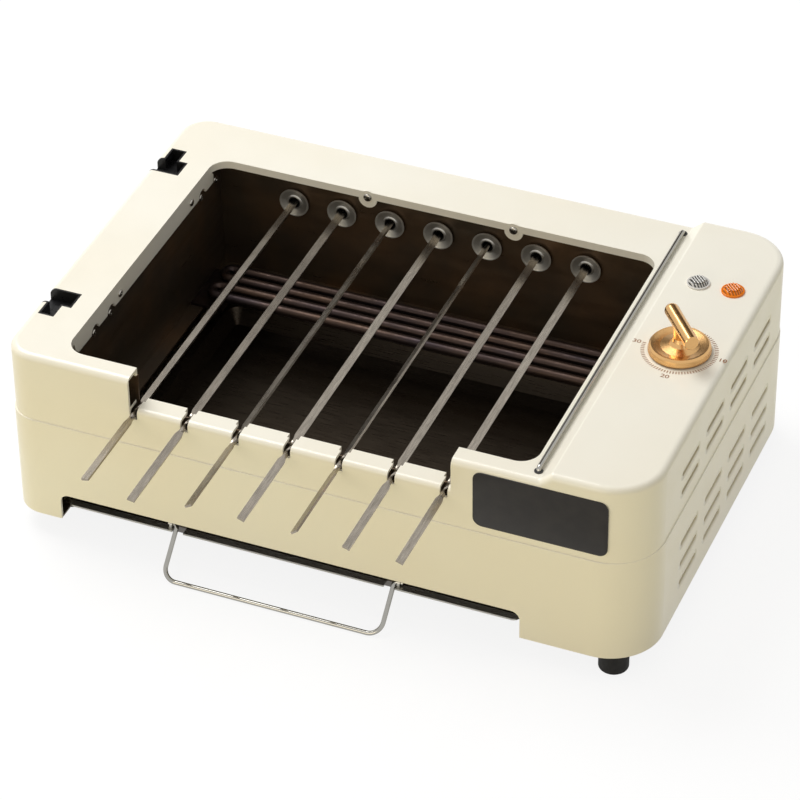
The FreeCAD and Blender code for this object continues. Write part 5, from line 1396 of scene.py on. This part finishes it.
def stage_material(name, tint, bounce, show):
    """Matte floor that looks plain white; show is how much of its tone the eye gets."""
    made = bpy.data.materials.new(name)
    made.use_nodes = True
    tree = made.node_tree
    tree.nodes.clear()
    path = add(tree, "ShaderNodeLightPath")
    tone = add(tree, "ShaderNodeMix", data_type="RGBA")
    tree.links.new(path.outputs["Is Camera Ray"], tone.inputs[0])
    tone.inputs[6].default_value = opaque(bounce)
    tone.inputs[7].default_value = opaque(tint)
    matte = add(tree, "ShaderNodeBsdfDiffuse", {"Color": tone.outputs[2]})
    glow = add(tree, "ShaderNodeEmission", {"Color": opaque(tint), "Strength": 1.03})
    seen = add(tree, "ShaderNodeMath", operation="MAXIMUM")
    tree.links.new(path.outputs["Is Camera Ray"], seen.inputs[0])
    tree.links.new(path.outputs["Is Glossy Ray"], seen.inputs[1])
    both = add(tree, "ShaderNodeMath", operation="MAXIMUM")
    tree.links.new(seen.outputs["Value"], both.inputs[0])
    tree.links.new(path.outputs["Is Transmission Ray"], both.inputs[1])
    share = add(tree, "ShaderNodeMath", operation="MULTIPLY")
    tree.links.new(both.outputs["Value"], share.inputs[0])
    share.inputs[1].default_value = show
    mixed = add(tree, "ShaderNodeMixShader", {"Fac": share.outputs["Value"]})
    tree.links.new(matte.outputs[0], mixed.inputs[1])
    tree.links.new(glow.outputs[0], mixed.inputs[2])
    add(tree, "ShaderNodeOutputMaterial", {"Surface": mixed.outputs[0]})
    return made


def soft_lamp(name, power, size, place, target, tint=(1.0, 1.0, 1.0)):
    """A square soft lamp aimed at a point."""
    data = bpy.data.lights.new(name, "AREA")
    data.energy = power
    data.shape = "RECTANGLE"
    data.size, data.size_y = size
    data.color = tint
    lamp = bpy.data.objects.new(name, data)
    bpy.context.scene.collection.objects.link(lamp)
    lamp.location = place
    aim = Vector(target) - Vector(place)
    lamp.rotation_euler = aim.to_track_quat("-Z", "Y").to_euler()
    return lamp


def sheet_mesh(name, corners):
    """One flat sheet."""
    mesh = bpy.data.meshes.new(name)
    mesh.from_pydata(corners, [], [tuple(range(len(corners)))])
    return mesh


def mirrored_flag(tint):
    """A dark card behind the grill that only polished surfaces mirror."""
    mesh = sheet_mesh("flag", [
        (-1.25, 1.3, 0.75), (0.35, 1.95, 0.75), (0.3, 1.75, 1.65), (-1.25, 1.15, 1.65)])
    dark = bpy.data.materials.new("flag")
    dark.use_nodes = True
    dark.node_tree.nodes.clear()
    plain = add(dark.node_tree, "ShaderNodeEmission", {"Color": opaque(tint)})
    add(dark.node_tree, "ShaderNodeOutputMaterial", {"Surface": plain.outputs[0]})
    mesh.materials.append(dark)
    card = bpy.data.objects.new("flag", mesh)
    bpy.context.scene.collection.objects.link(card)
    card.visible_camera = False
    card.visible_diffuse = False
    card.visible_transmission = False
    card.visible_shadow = False


def photograph_camera(settings):
    """The camera at the photograph's place, angle and lens."""
    azimuth = math.radians(settings.azimuth)
    elevation = math.radians(settings.elevation)
    roll = math.radians(settings.roll)
    right = Vector((math.cos(azimuth), math.sin(azimuth), 0.0))
    forward = Vector((
        -math.sin(azimuth) * math.cos(elevation),
        math.cos(azimuth) * math.cos(elevation),
        -math.sin(elevation),
    ))
    above = right.cross(forward)
    tilted = right * math.cos(roll) + above * math.sin(roll)
    upright = above * math.cos(roll) - right * math.sin(roll)
    data = bpy.data.cameras.new("photograph")
    data.lens = settings.lens
    data.sensor_width = 36.0
    data.clip_start = 0.05
    data.clip_end = 50.0
    camera = bpy.data.objects.new("photograph", data)
    bpy.context.scene.collection.objects.link(camera)
    turn = Matrix((tilted, upright, -forward)).transposed().to_4x4()
    camera.matrix_world = Matrix.Translation(Vector(settings.stand)) @ turn
    bpy.context.scene.camera = camera


class SKEWERGRILL_OT_stage(bpy.types.Operator):
    """Lays the floor, hangs the lamps and sets up the camera"""

    bl_idname = "skewergrill.stage"
    bl_label = "Set the stage"

    def execute(self, context):
        settings = context.scene.grill_stage
        reach = 6.0
        floor_mesh = sheet_mesh(
            "floor",
            [(-reach, -reach, 0), (reach, -reach, 0), (reach, reach, 0), (-reach, reach, 0)],
        )
        floor_mesh.materials.append(stage_material(
            "floor", tuple(settings.floor), tuple(settings.bounce), settings.white))
        floor = bpy.data.objects.new("floor", floor_mesh)
        context.scene.collection.objects.link(floor)
        world = bpy.data.worlds.new("studio")
        context.scene.world = world
        world.use_nodes = True
        tree = world.node_tree
        tree.nodes.clear()
        path = add(tree, "ShaderNodeLightPath")
        seen = add(tree, "ShaderNodeMath", operation="MAXIMUM")
        tree.links.new(path.outputs["Is Camera Ray"], seen.inputs[0])
        tree.links.new(path.outputs["Is Glossy Ray"], seen.inputs[1])
        both = add(tree, "ShaderNodeMath", operation="MAXIMUM")
        tree.links.new(seen.outputs["Value"], both.inputs[0])
        tree.links.new(path.outputs["Is Transmission Ray"], both.inputs[1])
        light = add(tree, "ShaderNodeBackground", {"Strength": settings.sky})
        shown = add(tree, "ShaderNodeBackground", {"Strength": 1.0})
        light.inputs["Color"].default_value = (1.0, 0.99, 0.97, 1.0)
        shown.inputs["Color"].default_value = (1.0, 1.0, 1.0, 1.0)
        mixed = add(tree, "ShaderNodeMixShader", {"Fac": both.outputs["Value"]})
        tree.links.new(light.outputs[0], mixed.inputs[1])
        tree.links.new(shown.outputs[0], mixed.inputs[2])
        add(tree, "ShaderNodeOutputWorld", {"Surface": mixed.outputs[0]})
        middle = (0.0, 0.0, 0.08)
        soft_lamp("key", settings.key, (1.3, 1.3), (-1.1, 0.45, 1.95), middle)
        soft_lamp("fill", settings.fill, (1.6, 0.7), (-0.3, -2.4, 0.7), middle,
                  tuple(settings.warmth))
        mirrored_flag(tuple(settings.flag))
        photograph_camera(settings)
        context.scene.view_settings.view_transform = "Standard"
        return {"FINISHED"}


class SKEWERGRILL_PT_panel(bpy.types.Panel):
    """The grill's settings and the steps that dress it"""

    bl_label = "Skewer grill"
    bl_idname = "SKEWERGRILL_PT_panel"
    bl_space_type = "VIEW_3D"
    bl_region_type = "UI"
    bl_category = "Skewer grill"

    def draw(self, context):
        layout = self.layout
        for holder in SETTINGS:
            box = layout.box()
            group = getattr(context.scene, holder)
            for label in group.bl_rna.properties.keys():
                if label not in ("rna_type", "name"):
                    box.prop(group, label)
        for step in STEPS:
            layout.operator(step.bl_idname)


SETTINGS = {
    "grill_finishes": GrillFinishSettings,
    "grill_fasteners": GrillFastenerSettings,
    "grill_dial": GrillDialSettings,
    "grill_plates": GrillPlateSettings,
    "grill_stage": GrillStageSettings,
}

STEPS = (
    SKEWERGRILL_OT_enamel,
    SKEWERGRILL_OT_bay,
    SKEWERGRILL_OT_metalwork,
    SKEWERGRILL_OT_controls,
    SKEWERGRILL_OT_screws,
    SKEWERGRILL_OT_dial,
    SKEWERGRILL_OT_knurl,
    SKEWERGRILL_OT_lamps,
    SKEWERGRILL_OT_plates,
    SKEWERGRILL_OT_rod_ends,
    SKEWERGRILL_OT_stage,
)


def register():
    """Makes the settings, steps and panel known to Blender."""
    for group in SETTINGS.values():
        bpy.utils.register_class(group)
    for step in STEPS:
        bpy.utils.register_class(step)
    bpy.utils.register_class(SKEWERGRILL_PT_panel)
    for holder, group in SETTINGS.items():
        setattr(bpy.types.Scene, holder, PointerProperty(type=group))


def unregister():
    """Takes them away again."""
    for holder in SETTINGS:
        delattr(bpy.types.Scene, holder)
    bpy.utils.unregister_class(SKEWERGRILL_PT_panel)
    for step in reversed(STEPS):
        bpy.utils.unregister_class(step)
    for group in reversed(list(SETTINGS.values())):
        bpy.utils.unregister_class(group)


def main():
    """Dresses the grill step by step."""
    register()
    for step in STEPS:
        family, action = step.bl_idname.split(".")
        getattr(getattr(bpy.ops, family), action)()


if __name__ == "__main__":
    main()
